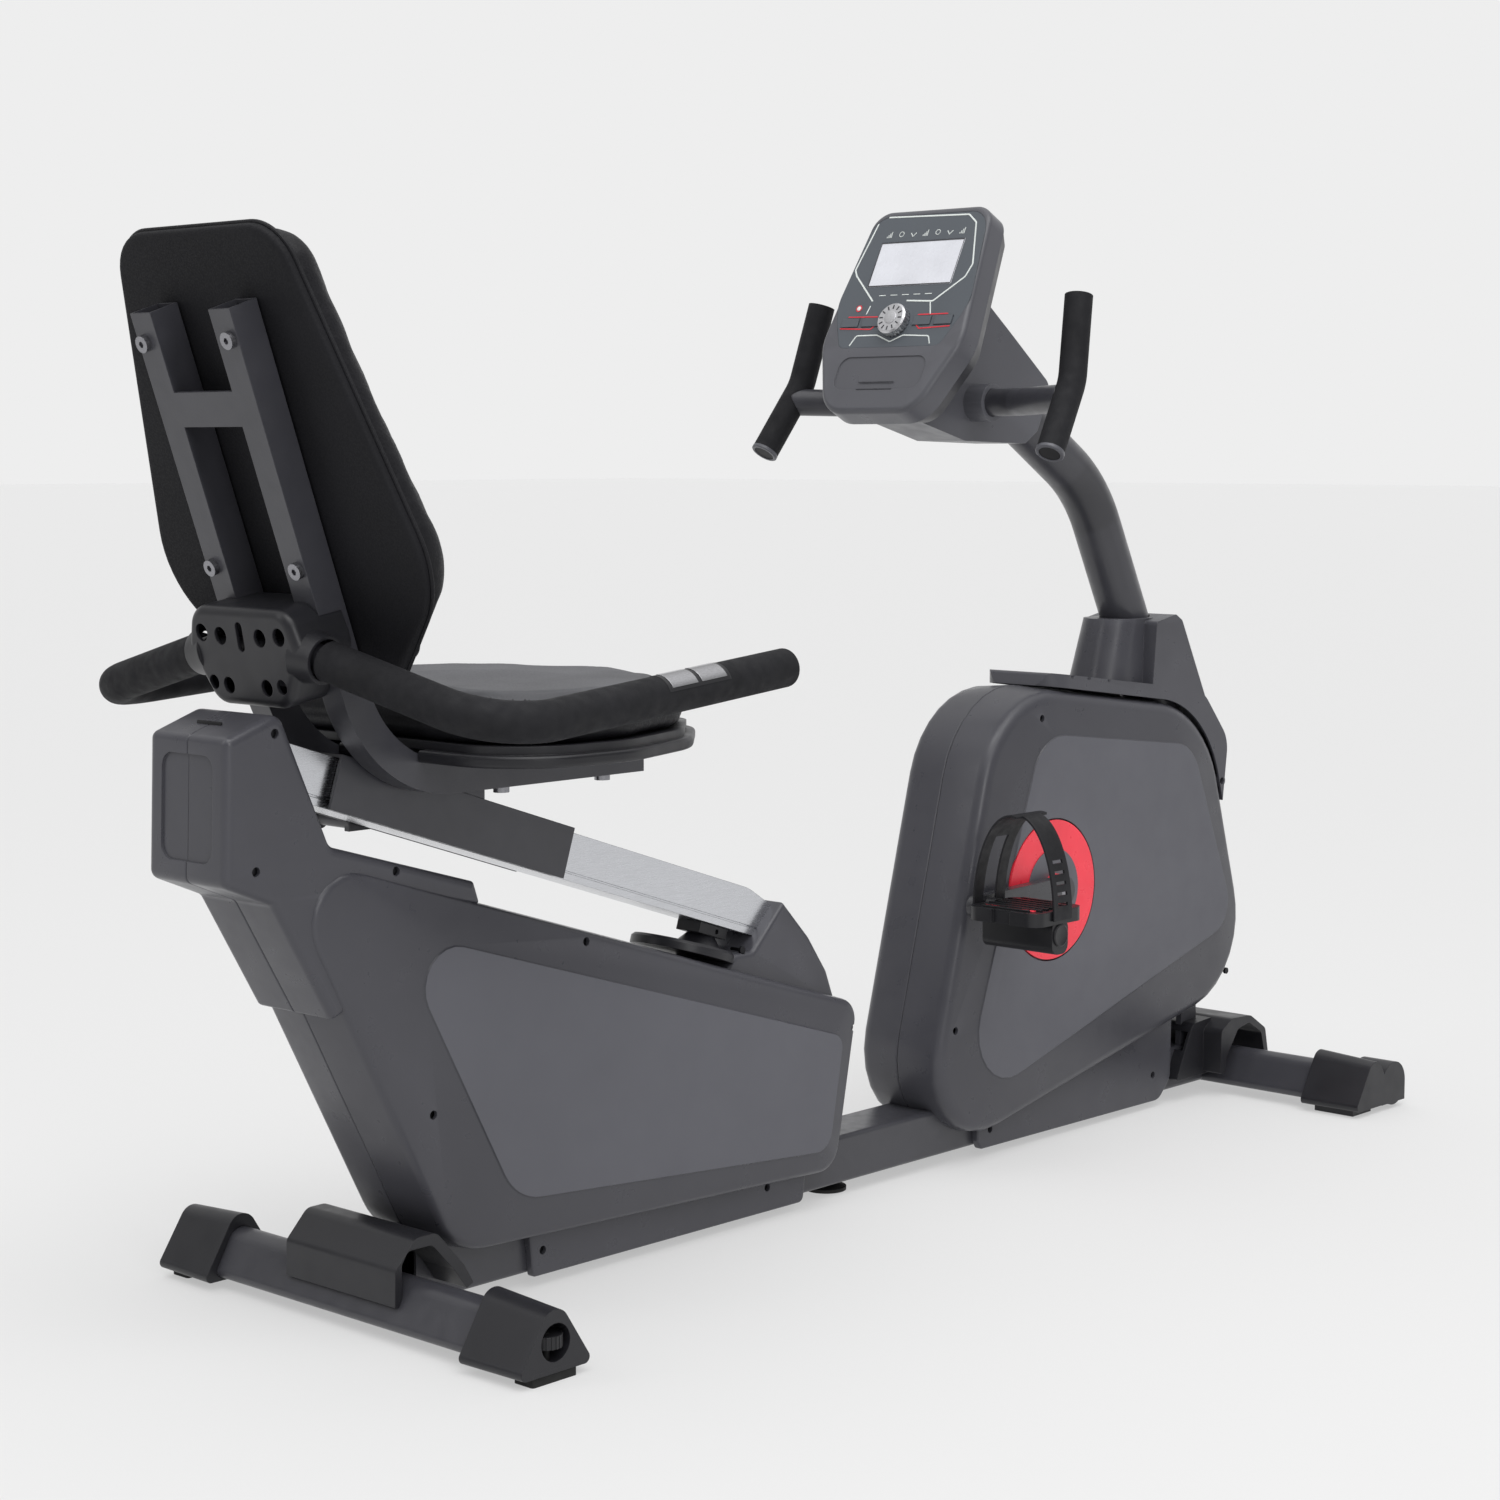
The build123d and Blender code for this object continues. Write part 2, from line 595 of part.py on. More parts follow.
# ------------------------------------------------------------------ seat rail and its supports
with BuildPart() as seat_rail:
    with BuildSketch(Plane.XZ.offset(-SEAT_RAIL_WIDTH / 2)):
        add(rounded(
            [
                rail_point(SEAT_RAIL_START, SEAT_RAIL_LOW),
                rail_point(SEAT_RAIL_END - 30, SEAT_RAIL_LOW),
                rail_point(SEAT_RAIL_END, SEAT_RAIL_HIGH - 14),
                rail_point(SEAT_RAIL_END - 55, SEAT_RAIL_HIGH),
                rail_point(SEAT_RAIL_START, SEAT_RAIL_HIGH),
            ],
            [0, 0, 2, 60, 0],
        ))
    extrude(amount=SEAT_RAIL_WIDTH)
    with BuildSketch(Plane.XZ.offset(-SEAT_RAIL_WIDTH / 2 - 1)):
        with BuildLine():
            Polyline(
                *rail_box(
                    SEAT_RAIL_START - 1, SEAT_RAIL_END + 5, SEAT_RAIL_LOW + 7.5, SEAT_RAIL_LOW + 9.5
                ),
                close=True,
            )
        make_face()
    extrude(amount=2.5, mode=Mode.SUBTRACT)
    with BuildSketch(Plane.XZ.offset(SEAT_RAIL_WIDTH / 2 - 1.5)):
        with BuildLine():
            Polyline(
                *rail_box(
                    SEAT_RAIL_START - 1, SEAT_RAIL_END + 5, SEAT_RAIL_LOW + 7.5, SEAT_RAIL_LOW + 9.5
                ),
                close=True,
            )
        make_face()
    extrude(amount=2.5, mode=Mode.SUBTRACT)
    with BuildSketch(Plane.XZ.offset(-SEAT_RAIL_WIDTH / 2 + 4)):
        with BuildLine():
            Polyline(
                *rail_box(
                    SEAT_RAIL_START - 1, SEAT_RAIL_END - 60, SEAT_RAIL_LOW + 4, SEAT_RAIL_HIGH - 4
                ),
                close=True,
            )
        make_face()
    extrude(amount=SEAT_RAIL_WIDTH - 8, mode=Mode.SUBTRACT)
seat_rail.part.label = "seat_rail"
export_step(seat_rail.part, "parts/seat_rail.step")

cone_x = 24.0
with BuildPart() as rail_support:
    with BuildSketch(disc_plane):
        Circle(DISC_RADIUS)
    extrude(amount=11)
    chamfer(rail_support.edges().sort_by(SortBy.LENGTH)[-1], 3)
    with Locations(disc_plane.offset(11)):
        with Locations((cone_x, 0, 0)):
            Cone(27, 15, 14, align=UPWARD)
    gap_up = SEAT_RAIL_LOW - FIT
    disc_up = disc_spot[0] - DATUM_X
    disc_up = disc_up * math.sin(slope) + disc_spot[1] * math.cos(slope) + 25
    with Locations(disc_plane.offset(25)):
        with Locations((cone_x, 0, 0)):
            Box(44, 34, gap_up - disc_up, align=UPWARD)
    with Locations(disc_plane.offset(25 + (gap_up - disc_up) / 2)):
        with Locations((cone_x + 6, -17, 0)):
            Cylinder(2.6, 8, rotation=(90, 0, 0), mode=Mode.SUBTRACT)
rail_support.part.label = "rail_support"
export_step(rail_support.part, "parts/rail_support.step")

# ------------------------------------------------------------------ welded frame inside the housings
mast_low = Vector(MAST_PATH[0][0] + DATUM_X, 0, MAST_PATH[0][1])
mast_turn = Vector(MAST_PATH[1][0] + DATUM_X, 0, MAST_PATH[1][1])
mast_axis = (mast_turn - mast_low).normalized()
socket_low = mast_low - mast_axis * 14
SHELL_DIA = 42.0
SHELL_HALF = 36.0
with BuildPart() as frame_core:
    # rear post from the main rail up to the seat rail's high end
    with BuildSketch(Plane.XZ.offset(-POST_HALF)):
        add(post_outline)
    extrude(amount=2 * POST_HALF)
    # bottom bracket
    with Locations((CRANK_X + DATUM_X, 0, CRANK_Z)):
        Cylinder(SHELL_DIA / 2, 2 * SHELL_HALF, rotation=(90, 0, 0))
    with BuildSketch(Plane.XZ.offset(-28)):
        with BuildLine():
            Polyline(
                *side([
                    (1020, RAIL_TOP + FIT), (1094, RAIL_TOP + FIT), (1086, CRANK_Z), (1054, CRANK_Z),
                ]),
                close=True,
            )
        make_face()
    extrude(amount=6)
    with BuildSketch(Plane.XZ.offset(22)):
        with BuildLine():
            Polyline(
                *side([
                    (1020, RAIL_TOP + FIT), (1094, RAIL_TOP + FIT), (1086, CRANK_Z), (1054, CRANK_Z),
                ]),
                close=True,
            )
        make_face()
    extrude(amount=6)
    # mast socket on two struts that straddle the flywheel
    with BuildSketch(Plane(origin=socket_low, x_dir=(0, 1, 0), z_dir=mast_axis)):
        Circle(MAST_DIA / 2 + FIT + 4)
    extrude(amount=90)
    for y_far in (-STRUT_Y - STRUT_THICK, STRUT_Y):
        with BuildSketch(Plane.XZ.offset(y_far)):
            add(strut_outline)
        extrude(amount=STRUT_THICK)
    # flywheel dropouts
    for y_far in (-STRUT_Y - STRUT_THICK, STRUT_Y):
        with BuildSketch(Plane.XZ.offset(y_far)):
            with BuildLine():
                Polyline(
                    *side([
                        (FLYWHEEL_X - 14, FLYWHEEL_Z - 12), (1400, FLYWHEEL_Z - 16),
                        (1400, FLYWHEEL_Z + 16), (FLYWHEEL_X - 14, FLYWHEEL_Z + 12),
                    ]),
                    close=True,
                )
            make_face()
        extrude(amount=8)
    with Locations((FLYWHEEL_X + DATUM_X, 0, FLYWHEEL_Z)):
        Cylinder(FLYWHEEL_SHAFT / 2 + SHAFT_FIT, 90, rotation=(90, 0, 0), mode=Mode.SUBTRACT)
    with Locations((CRANK_X + DATUM_X, 0, CRANK_Z)):
        Cylinder(SHELL_DIA / 2 - 4, 2 * SHELL_HALF + 2, rotation=(90, 0, 0), mode=Mode.SUBTRACT)
    with Locations((CRANK_X + DATUM_X, 26, CRANK_Z), (CRANK_X + DATUM_X, -26, CRANK_Z)):
        Cylinder(SHELL_DIA / 2 - 3, 14, rotation=(90, 0, 0))
        Cylinder(AXLE_DIA / 2 + SHAFT_FIT, 16, rotation=(90, 0, 0), mode=Mode.SUBTRACT)
    with BuildSketch(Plane(origin=socket_low + mast_axis * 14, x_dir=(0, 1, 0), z_dir=mast_axis)):
        Circle(MAST_DIA / 2 + FIT)
    extrude(amount=90, mode=Mode.SUBTRACT)
    with Locations((1400 + DATUM_X, 0, RAIL_TOP / 2)):
        Box(90, RAIL_WIDTH + 2 * FIT, RAIL_TOP + 2 * FIT, mode=Mode.SUBTRACT)
frame_core.part.label = "frame_core"
export_step(frame_core.part, "parts/frame_core.step")

with BuildPart() as mast:
    mast_wire = bent_path([(x + DATUM_X, 0, z) for x, z in MAST_PATH], MAST_BEND)
    with BuildSketch(Plane(origin=mast_wire @ 0, x_dir=(0, 1, 0), z_dir=mast_wire % 0)) as mast_section:
        Circle(MAST_DIA / 2)
        Circle(MAST_DIA / 2 - MAST_WALL, mode=Mode.SUBTRACT)
    sweep(mast_section.sketch, path=mast_wire)
mast.part.label = "mast"
export_step(mast.part, "parts/mast.step")

# ------------------------------------------------------------------ drive housing
mast_hole = Plane(origin=socket_low, x_dir=(0, 1, 0), z_dir=mast_axis)
with BuildPart() as drive_cover_right:
    with BuildSketch(Plane.XZ):
        add(drive_seam)
    with BuildSketch(Plane.XZ.offset(COVER_HALF)):
        add(drive_outline)
    loft(ruled=True)
    with BuildSketch(Plane.XZ.offset(COVER_HALF)):
        add(drive_outline)
    with BuildSketch(Plane.XZ.offset(COVER_HALF + PANEL_RISE)):
        add(drive_panel)
    loft(ruled=True)
    with BuildSketch(Plane.XZ):
        add(drive_inner)
    extrude(amount=COVER_HALF - COVER_WALL, mode=Mode.SUBTRACT)
    with BuildSketch(Plane.XZ):
        add(grown(drive_panel, -8))
        with Locations((CRANK_X + DATUM_X, CRANK_Z)):
            Circle(CRANK_DISC_RADIUS + 6, mode=Mode.SUBTRACT)
    extrude(amount=COVER_HALF + PANEL_RISE - COVER_WALL, mode=Mode.SUBTRACT)
    with BuildSketch(Plane.XZ.offset(RAIL_WIDTH / 2 + FIT)):
        with BuildLine():
            Polyline(
                *side([
                    (955, 22), (962, 11), (1335, 9), (1360, 34), (1362, 122), (1000, 50), (955, 50),
                ]),
                close=True,
            )
        make_face()
    extrude(amount=SKIRT_Y - RAIL_WIDTH / 2 - FIT)
    screw_seats(drive_screws, COVER_HALF)
    screw_seats(drive_skirt_screws, SKIRT_Y, boss=False)
    with Locations((CRANK_X + DATUM_X, -COVER_HALF, CRANK_Z)):
        Cylinder(CRANK_DISC_RADIUS + 2, 3, rotation=(90, 0, 0), mode=Mode.SUBTRACT)
        Cylinder(30, 30, rotation=(90, 0, 0), mode=Mode.SUBTRACT)
    with Locations((CRANK_X + DATUM_X, -COVER_HALF - 6, CRANK_Z)):
        Cylinder(CRANK_DISC_RADIUS + 2, 12, rotation=(90, 0, 0), mode=Mode.SUBTRACT)
    with Locations((1150 + DATUM_X, 0, RAIL_TOP / 2)):
        Box(900, RAIL_WIDTH + 2 * FIT, RAIL_TOP + 2 * FIT, mode=Mode.SUBTRACT)
    with BuildSketch(mast_hole):
        Circle(MAST_DIA / 2 + 6)
    extrude(amount=160, mode=Mode.SUBTRACT)
    strut_slots()
drive_cover_right.part.label = "drive_cover_right"
export_step(drive_cover_right.part, "parts/drive_cover_right.step")

with BuildPart() as drive_cover_left:
    mirror(drive_cover_right.part, about=Plane.XZ)
drive_cover_left.part.label = "drive_cover_left"
export_step(drive_cover_left.part, "parts/drive_cover_left.step")

TOP_HALF = 57.0
TOP_WALL = 3.0
SHROUD_LOW = 530.0
SHROUD_HIGH = 634.0
TRAY_REAR = 1077.0
TRAY_CORNER = 36.0
tray_outline = rounded(
    side([
        (TRAY_REAR, 560), (1086, 577), (1314, 549), (1400, 539),
        (1462, 470), (1440, 300), (TRAY_REAR, 300),
    ]),
    [3, 5, 8, 60, 40, 0, 0],
)
tray_plan = rounded(
    side([(TRAY_REAR, -TOP_HALF), (1480, -TOP_HALF), (1480, TOP_HALF), (TRAY_REAR, TOP_HALF)]),
    [TRAY_CORNER, 0, 0, TRAY_CORNER],
)
cheek_outline = rounded(
    side([(1288, 545), (1296, 630), (1338, 638), (1352, 630), (1420, 505), (1400, 480)]),
    [0, 6, 4, 8, 0, 0],
)


def tray(profile, plan, half):
    """Flat tray with rounded rear corners, or its hollow."""
    with BuildPart() as made:
        with BuildSketch(Plane.XZ.offset(-half)) as upright:
            add(profile)
        extrude(upright.sketch, amount=2 * half)
        with BuildSketch(Plane.XY) as level:
            add(plan)
        extrude(level.sketch, amount=SHROUD_HIGH, mode=Mode.INTERSECT)
    return made.part


def shroud(inset):
    """Tapered collar around the mast, or its hollow."""
    with BuildSketch(Plane.XY.offset(SHROUD_LOW - inset)) as low:
        with Locations(((1212 + 1440) / 2 + DATUM_X, 0)):
            RectangleRounded(1440 - 1212 - 2 * inset, 84 - 2 * inset, 34 - inset)
    with BuildSketch(Plane.XY.offset(SHROUD_HIGH - inset)) as high:
        with Locations(((1246 + 1345) / 2 + DATUM_X, 0)):
            RectangleRounded(1345 - 1246 - 2 * inset, 74 - 2 * inset, 33 - inset)
    return [low.sketch, high.sketch]


with BuildPart() as drive_top_cover:
    # low tray, a tapered shroud around the mast and a raised cheek on each side
    add(tray(tray_outline, tray_plan, TOP_HALF))
    loft(shroud(0), ruled=True)
    with BuildSketch(Plane.XZ.offset(-TOP_HALF)):
        add(cheek_outline)
    extrude(amount=2 * TOP_HALF)
    add(
        tray(grown(tray_outline, -TOP_WALL), grown(tray_plan, -TOP_WALL), TOP_HALF - TOP_WALL),
        mode=Mode.SUBTRACT,
    )
    loft(shroud(TOP_WALL), ruled=True, mode=Mode.SUBTRACT)
    with BuildSketch(Plane.XZ.offset(-TOP_HALF + TOP_WALL)):
        add(grown(cheek_outline, -TOP_WALL))
    extrude(amount=2 * (TOP_HALF - TOP_WALL), mode=Mode.SUBTRACT)
    for x, z in top_screws:
        for way in (-1, 1):
            with Locations((x, way * (TOP_HALF - 6), z)):
                Cylinder(7.5, 12, rotation=(90, 0, 0))
            with Locations((x, way * TOP_HALF, z)):
                Cylinder(SCREW_HOLE / 2, 14, rotation=(90, 0, 0), mode=Mode.SUBTRACT)
                Cylinder(SCREW_SHANK / 2 + SHAFT_FIT, 60, rotation=(90, 0, 0), mode=Mode.SUBTRACT)
    with BuildSketch(Plane.XZ.offset(-200)):
        add(grown(drive_outline, CROWN + FIT))
    extrude(amount=400, mode=Mode.SUBTRACT)
    with BuildSketch(Plane(origin=mast_hole.origin, x_dir=(0, 1, 0), z_dir=mast_axis)):
        Circle(MAST_DIA / 2 + 1.0)
    extrude(amount=260, mode=Mode.SUBTRACT)
    with BuildSketch(Plane(origin=mast_hole.origin, x_dir=(0, 1, 0), z_dir=mast_axis)):
        Circle(MAST_DIA / 2 + FIT + 4.3)
    extrude(amount=90.3, mode=Mode.SUBTRACT)
    strut_slots()
    for x, z in side([(1118, 573), (1152, 569), (1194, 564)]):
        for way in (-1, 1):
            with Locations((x, way * TOP_HALF, z)):
                Cylinder(4, 5, rotation=(90, 0, 0), mode=Mode.SUBTRACT)
drive_top_cover.part.label = "drive_top_cover"
export_step(drive_top_cover.part, "parts/drive_top_cover.step")

# ------------------------------------------------------------------ crank, pedals, flywheel
crank_x = CRANK_X + DATUM_X
axle_half = ARM_INNER_Y + ARM_THICK - 1
with BuildPart() as crank_axle:
    with Locations((crank_x, 0, CRANK_Z)):
        Cylinder(AXLE_DIA / 2, 2 * axle_half, rotation=(90, 0, 0))
    with Locations((crank_x, PULLEY_Y, CRANK_Z)):
        Cylinder(PULLEY_DIA / 2, BELT_WIDTH, rotation=(90, 0, 0))
    with BuildSketch(Plane.XZ.offset(-PULLEY_Y - BELT_WIDTH / 2)):
        with Locations((crank_x, CRANK_Z)):
            with PolarLocations(55, 5):
                Circle(19)
    extrude(amount=BELT_WIDTH, mode=Mode.SUBTRACT)
crank_axle.part.label = "crank_axle"
export_step(crank_axle.part, "parts/crank_axle.step")

with BuildPart() as crank_discs:
    for way in (1, -1):
        with Locations((crank_x, way * 63.2, CRANK_Z)):
            Cylinder(CRANK_DISC_RADIUS, 5.4, rotation=(90, 0, 0))
        with Locations((crank_x, way * (60.5 + ARM_INNER_Y - FIT) / 2, CRANK_Z)):
            Cylinder(20, ARM_INNER_Y - FIT - 60.5, rotation=(90, 0, 0))
    with Locations((crank_x, 0, CRANK_Z)):
        Cylinder(AXLE_DIA / 2 + SHAFT_FIT, 200, rotation=(90, 0, 0), mode=Mode.SUBTRACT)
crank_discs.part.label = "crank_discs"
export_step(crank_discs.part, "parts/crank_discs.step")

pedal_mid_y = PEDAL_INNER_Y + PEDAL_WIDTH / 2
pin_end = PEDAL_INNER_Y + PEDAL_WIDTH - 8


def crank_arm(way):
    """Arm and pedal pin; way is +1 for the left side."""
    end_x = crank_x + way * CRANK_LENGTH
    start = -way * ARM_INNER_Y if way < 0 else -(ARM_INNER_Y + ARM_THICK)
    with BuildSketch(Plane.XZ.offset(start)) as arm:
        with Locations((crank_x, CRANK_Z)):
            Circle(18)
        with Locations((end_x, CRANK_Z)):
            Circle(13)
        make_hull()
    extrude(arm.sketch, amount=ARM_THICK)
    with Locations((end_x, way * (ARM_INNER_Y + 1 + pin_end) / 2, CRANK_Z)):
        Cylinder(PEDAL_PIN_DIA / 2, pin_end - ARM_INNER_Y - 1, rotation=(90, 0, 0))
    with Locations((crank_x, 0, CRANK_Z)):
        Cylinder(AXLE_DIA / 2 + SHAFT_FIT, 200, rotation=(90, 0, 0), mode=Mode.SUBTRACT)


with BuildPart() as crank_arm_right:
    crank_arm(-1)
crank_arm_right.part.label = "crank_arm_right"
export_step(crank_arm_right.part, "parts/crank_arm_right.step")

with BuildPart() as crank_arm_left:
    crank_arm(1)
crank_arm_left.part.label = "crank_arm_left"
export_step(crank_arm_left.part, "parts/crank_arm_left.step")


def pedal_body(way):
    x = crank_x + way * CRANK_LENGTH
    y = way * pedal_mid_y
    with BuildSketch(Plane.XY.offset(CRANK_Z - 7)) as deck:
        with Locations((x, y)):
            RectangleRounded(PEDAL_LENGTH, PEDAL_WIDTH, 16)
    extrude(deck.sketch, amount=16)
    with Locations((x - PEDAL_LENGTH / 2, y, CRANK_Z), (x + PEDAL_LENGTH / 2, y, CRANK_Z)):
        Box(7, 26, 24, mode=Mode.SUBTRACT)
    with BuildSketch(Plane.XZ.offset(-way * pedal_mid_y - PEDAL_WIDTH / 2 + 1)) as roll:
        with Locations((x, CRANK_Z - 22)):
            RectangleRounded(30, 40, 11)
    extrude(roll.sketch, amount=PEDAL_WIDTH - 2)
    with Locations((x, way * (PEDAL_INNER_Y + 6), CRANK_Z)):
        Cylinder(13, 12, rotation=(90, 0, 0))
    with Locations((x, way * (PEDAL_INNER_Y + PEDAL_WIDTH / 2 - 6), CRANK_Z)):
        Cylinder(PEDAL_PIN_DIA / 2 + SHAFT_FIT, PEDAL_WIDTH, rotation=(90, 0, 0), mode=Mode.SUBTRACT)


with BuildPart() as pedal_right:
    pedal_body(-1)
pedal_right.part.label = "pedal_right"
export_step(pedal_right.part, "parts/pedal_right.step")

with BuildPart() as pedal_left:
    pedal_body(1)
pedal_left.part.label = "pedal_left"
export_step(pedal_left.part, "parts/pedal_left.step")

STRAP_RISE = 116.0
STRAP_THICK = 2.5
strap_reach = PEDAL_WIDTH / 2 + 3.2


def strap_body(way):
    """Toe strap: one band outside, two narrow legs on the crank side."""
    x = crank_x + way * CRANK_LENGTH
    with BuildSketch(Plane.YZ.offset(x - 29)) as band:
        with Locations((way * pedal_mid_y, CRANK_Z)):
            Ellipse(strap_reach, STRAP_RISE)
            Ellipse(strap_reach - STRAP_THICK, STRAP_RISE - STRAP_THICK, mode=Mode.SUBTRACT)
        with Locations((way * pedal_mid_y, CRANK_Z - STRAP_RISE / 2 - 2)):
            Rectangle(3 * strap_reach, STRAP_RISE, mode=Mode.SUBTRACT)
    extrude(band.sketch, amount=58)
    with Locations((x, way * (pedal_mid_y + strap_reach / 2 + 8), CRANK_Z)):
        with Locations((24, 0, 40), (-24, 0, 40)):
            Box(14, strap_reach, 2 * STRAP_RISE, mode=Mode.SUBTRACT)
    with Locations((x, way * (pedal_mid_y - strap_reach + 4), CRANK_Z + 50)):
        Box(24, 34, 78, mode=Mode.SUBTRACT)
    with Locations((x, way * PEDAL_INNER_Y, CRANK_Z)):
        Cylinder(PEDAL_PIN_DIA / 2 + RUN, 20, rotation=(90, 0, 0), mode=Mode.SUBTRACT)
    for k in range(5):
        with Locations((x, way * (pedal_mid_y + strap_reach - 4), CRANK_Z + 16 + 12 * k)):
            Box(18, 24, 4, mode=Mode.SUBTRACT)


with BuildPart() as pedal_strap_right:
    strap_body(-1)
pedal_strap_right.part.label = "pedal_strap_right"
export_step(pedal_strap_right.part, "parts/pedal_strap_right.step")

with BuildPart() as pedal_strap_left:
    strap_body(1)
pedal_strap_left.part.label = "pedal_strap_left"
export_step(pedal_strap_left.part, "parts/pedal_strap_left.step")

fly_x = FLYWHEEL_X + DATUM_X
fly_radius = FLYWHEEL_DIA / 2
with BuildPart() as flywheel:
    with Locations((fly_x, 0, FLYWHEEL_Z)):
        Cylinder(fly_radius, FLYWHEEL_WIDTH, rotation=(90, 0, 0))
        with Locations((0, FLYWHEEL_WIDTH / 2, 0), (0, -FLYWHEEL_WIDTH / 2, 0)):
            Cylinder(fly_radius - 22, 8, rotation=(90, 0, 0), mode=Mode.SUBTRACT)
        Cylinder(24, FLYWHEEL_WIDTH + 16, rotation=(90, 0, 0))
    with Locations((fly_x, 10, FLYWHEEL_Z)):
        Cylinder(FLYWHEEL_SHAFT / 2, 92, rotation=(90, 0, 0))
    with Locations((fly_x, PULLEY_Y, FLYWHEEL_Z)):
        Cylinder(FLYWHEEL_PULLEY_DIA / 2, BELT_WIDTH, rotation=(90, 0, 0))
flywheel.part.label = "flywheel"
export_step(flywheel.part, "parts/flywheel.step")

BELT_THICK = 2.4
with BuildPart() as drive_belt:
    with BuildSketch(Plane.XZ.offset(-PULLEY_Y - BELT_WIDTH / 2)):
        with Locations((crank_x, CRANK_Z)):
            Circle(PULLEY_DIA / 2 + 0.4 + BELT_THICK)
        with Locations((fly_x, FLYWHEEL_Z)):
            Circle(FLYWHEEL_PULLEY_DIA / 2 + 0.4 + BELT_THICK)
        make_hull()
    extrude(amount=BELT_WIDTH)
    with BuildSketch(Plane.XZ.offset(-PULLEY_Y - BELT_WIDTH / 2)):
        with Locations((crank_x, CRANK_Z)):
            Circle(PULLEY_DIA / 2 + 0.4)
        with Locations((fly_x, FLYWHEEL_Z)):
            Circle(FLYWHEEL_PULLEY_DIA / 2 + 0.4)
        make_hull()
    extrude(amount=BELT_WIDTH, mode=Mode.SUBTRACT)
drive_belt.part.label = "drive_belt"
export_step(drive_belt.part, "parts/drive_belt.step")

# ------------------------------------------------------------------ seat carriage
SLEEVE_HIGH = SEAT_RAIL_HIGH + 4.0
LEVER_X = 120.0
LEVER_Z = 489.0
with BuildPart() as carriage_sleeve:
    with BuildSketch(Plane.XZ.offset(-SLEEVE_WIDTH / 2)):
        with BuildLine():
            Polyline(*rail_box(SLEEVE_START, SLEEVE_END, SEAT_RAIL_LOW, SLEEVE_HIGH), close=True)
        make_face()
    extrude(amount=SLEEVE_WIDTH)
    with BuildSketch(Plane.XZ.offset(-SLEEVE_WIDTH / 2 + SLEEVE_WALL)):
        with BuildLine():
            Polyline(
                *rail_box(SLEEVE_START - 1, SLEEVE_END + 1, SEAT_RAIL_LOW - 1, SEAT_RAIL_HIGH + RUN),
                close=True,
            )
        make_face()
    extrude(amount=SLEEVE_WIDTH - 2 * SLEEVE_WALL, mode=Mode.SUBTRACT)
    for start in (SLEEVE_START + 4, SLEEVE_END - 44):
        for y_start in (SEAT_RAIL_WIDTH / 2 + RUN, -SLEEVE_WIDTH / 2 + SLEEVE_WALL):
            with BuildSketch(Plane.XZ.offset(y_start)):
                with BuildLine():
                    Polyline(
                        *rail_box(start, start + 40, SEAT_RAIL_LOW + 12, SEAT_RAIL_HIGH + RUN), close=True
                    )
                make_face()
            extrude(amount=SLEEVE_WIDTH / 2 - SLEEVE_WALL - SEAT_RAIL_WIDTH / 2 - RUN)
    with Locations((LEVER_X + DATUM_X, SLEEVE_WIDTH / 2 + 4, LEVER_Z)):
        Cylinder(5, 10, rotation=(90, 0, 0))
carriage_sleeve.part.label = "carriage_sleeve"
export_step(carriage_sleeve.part, "parts/carriage_sleeve.step")

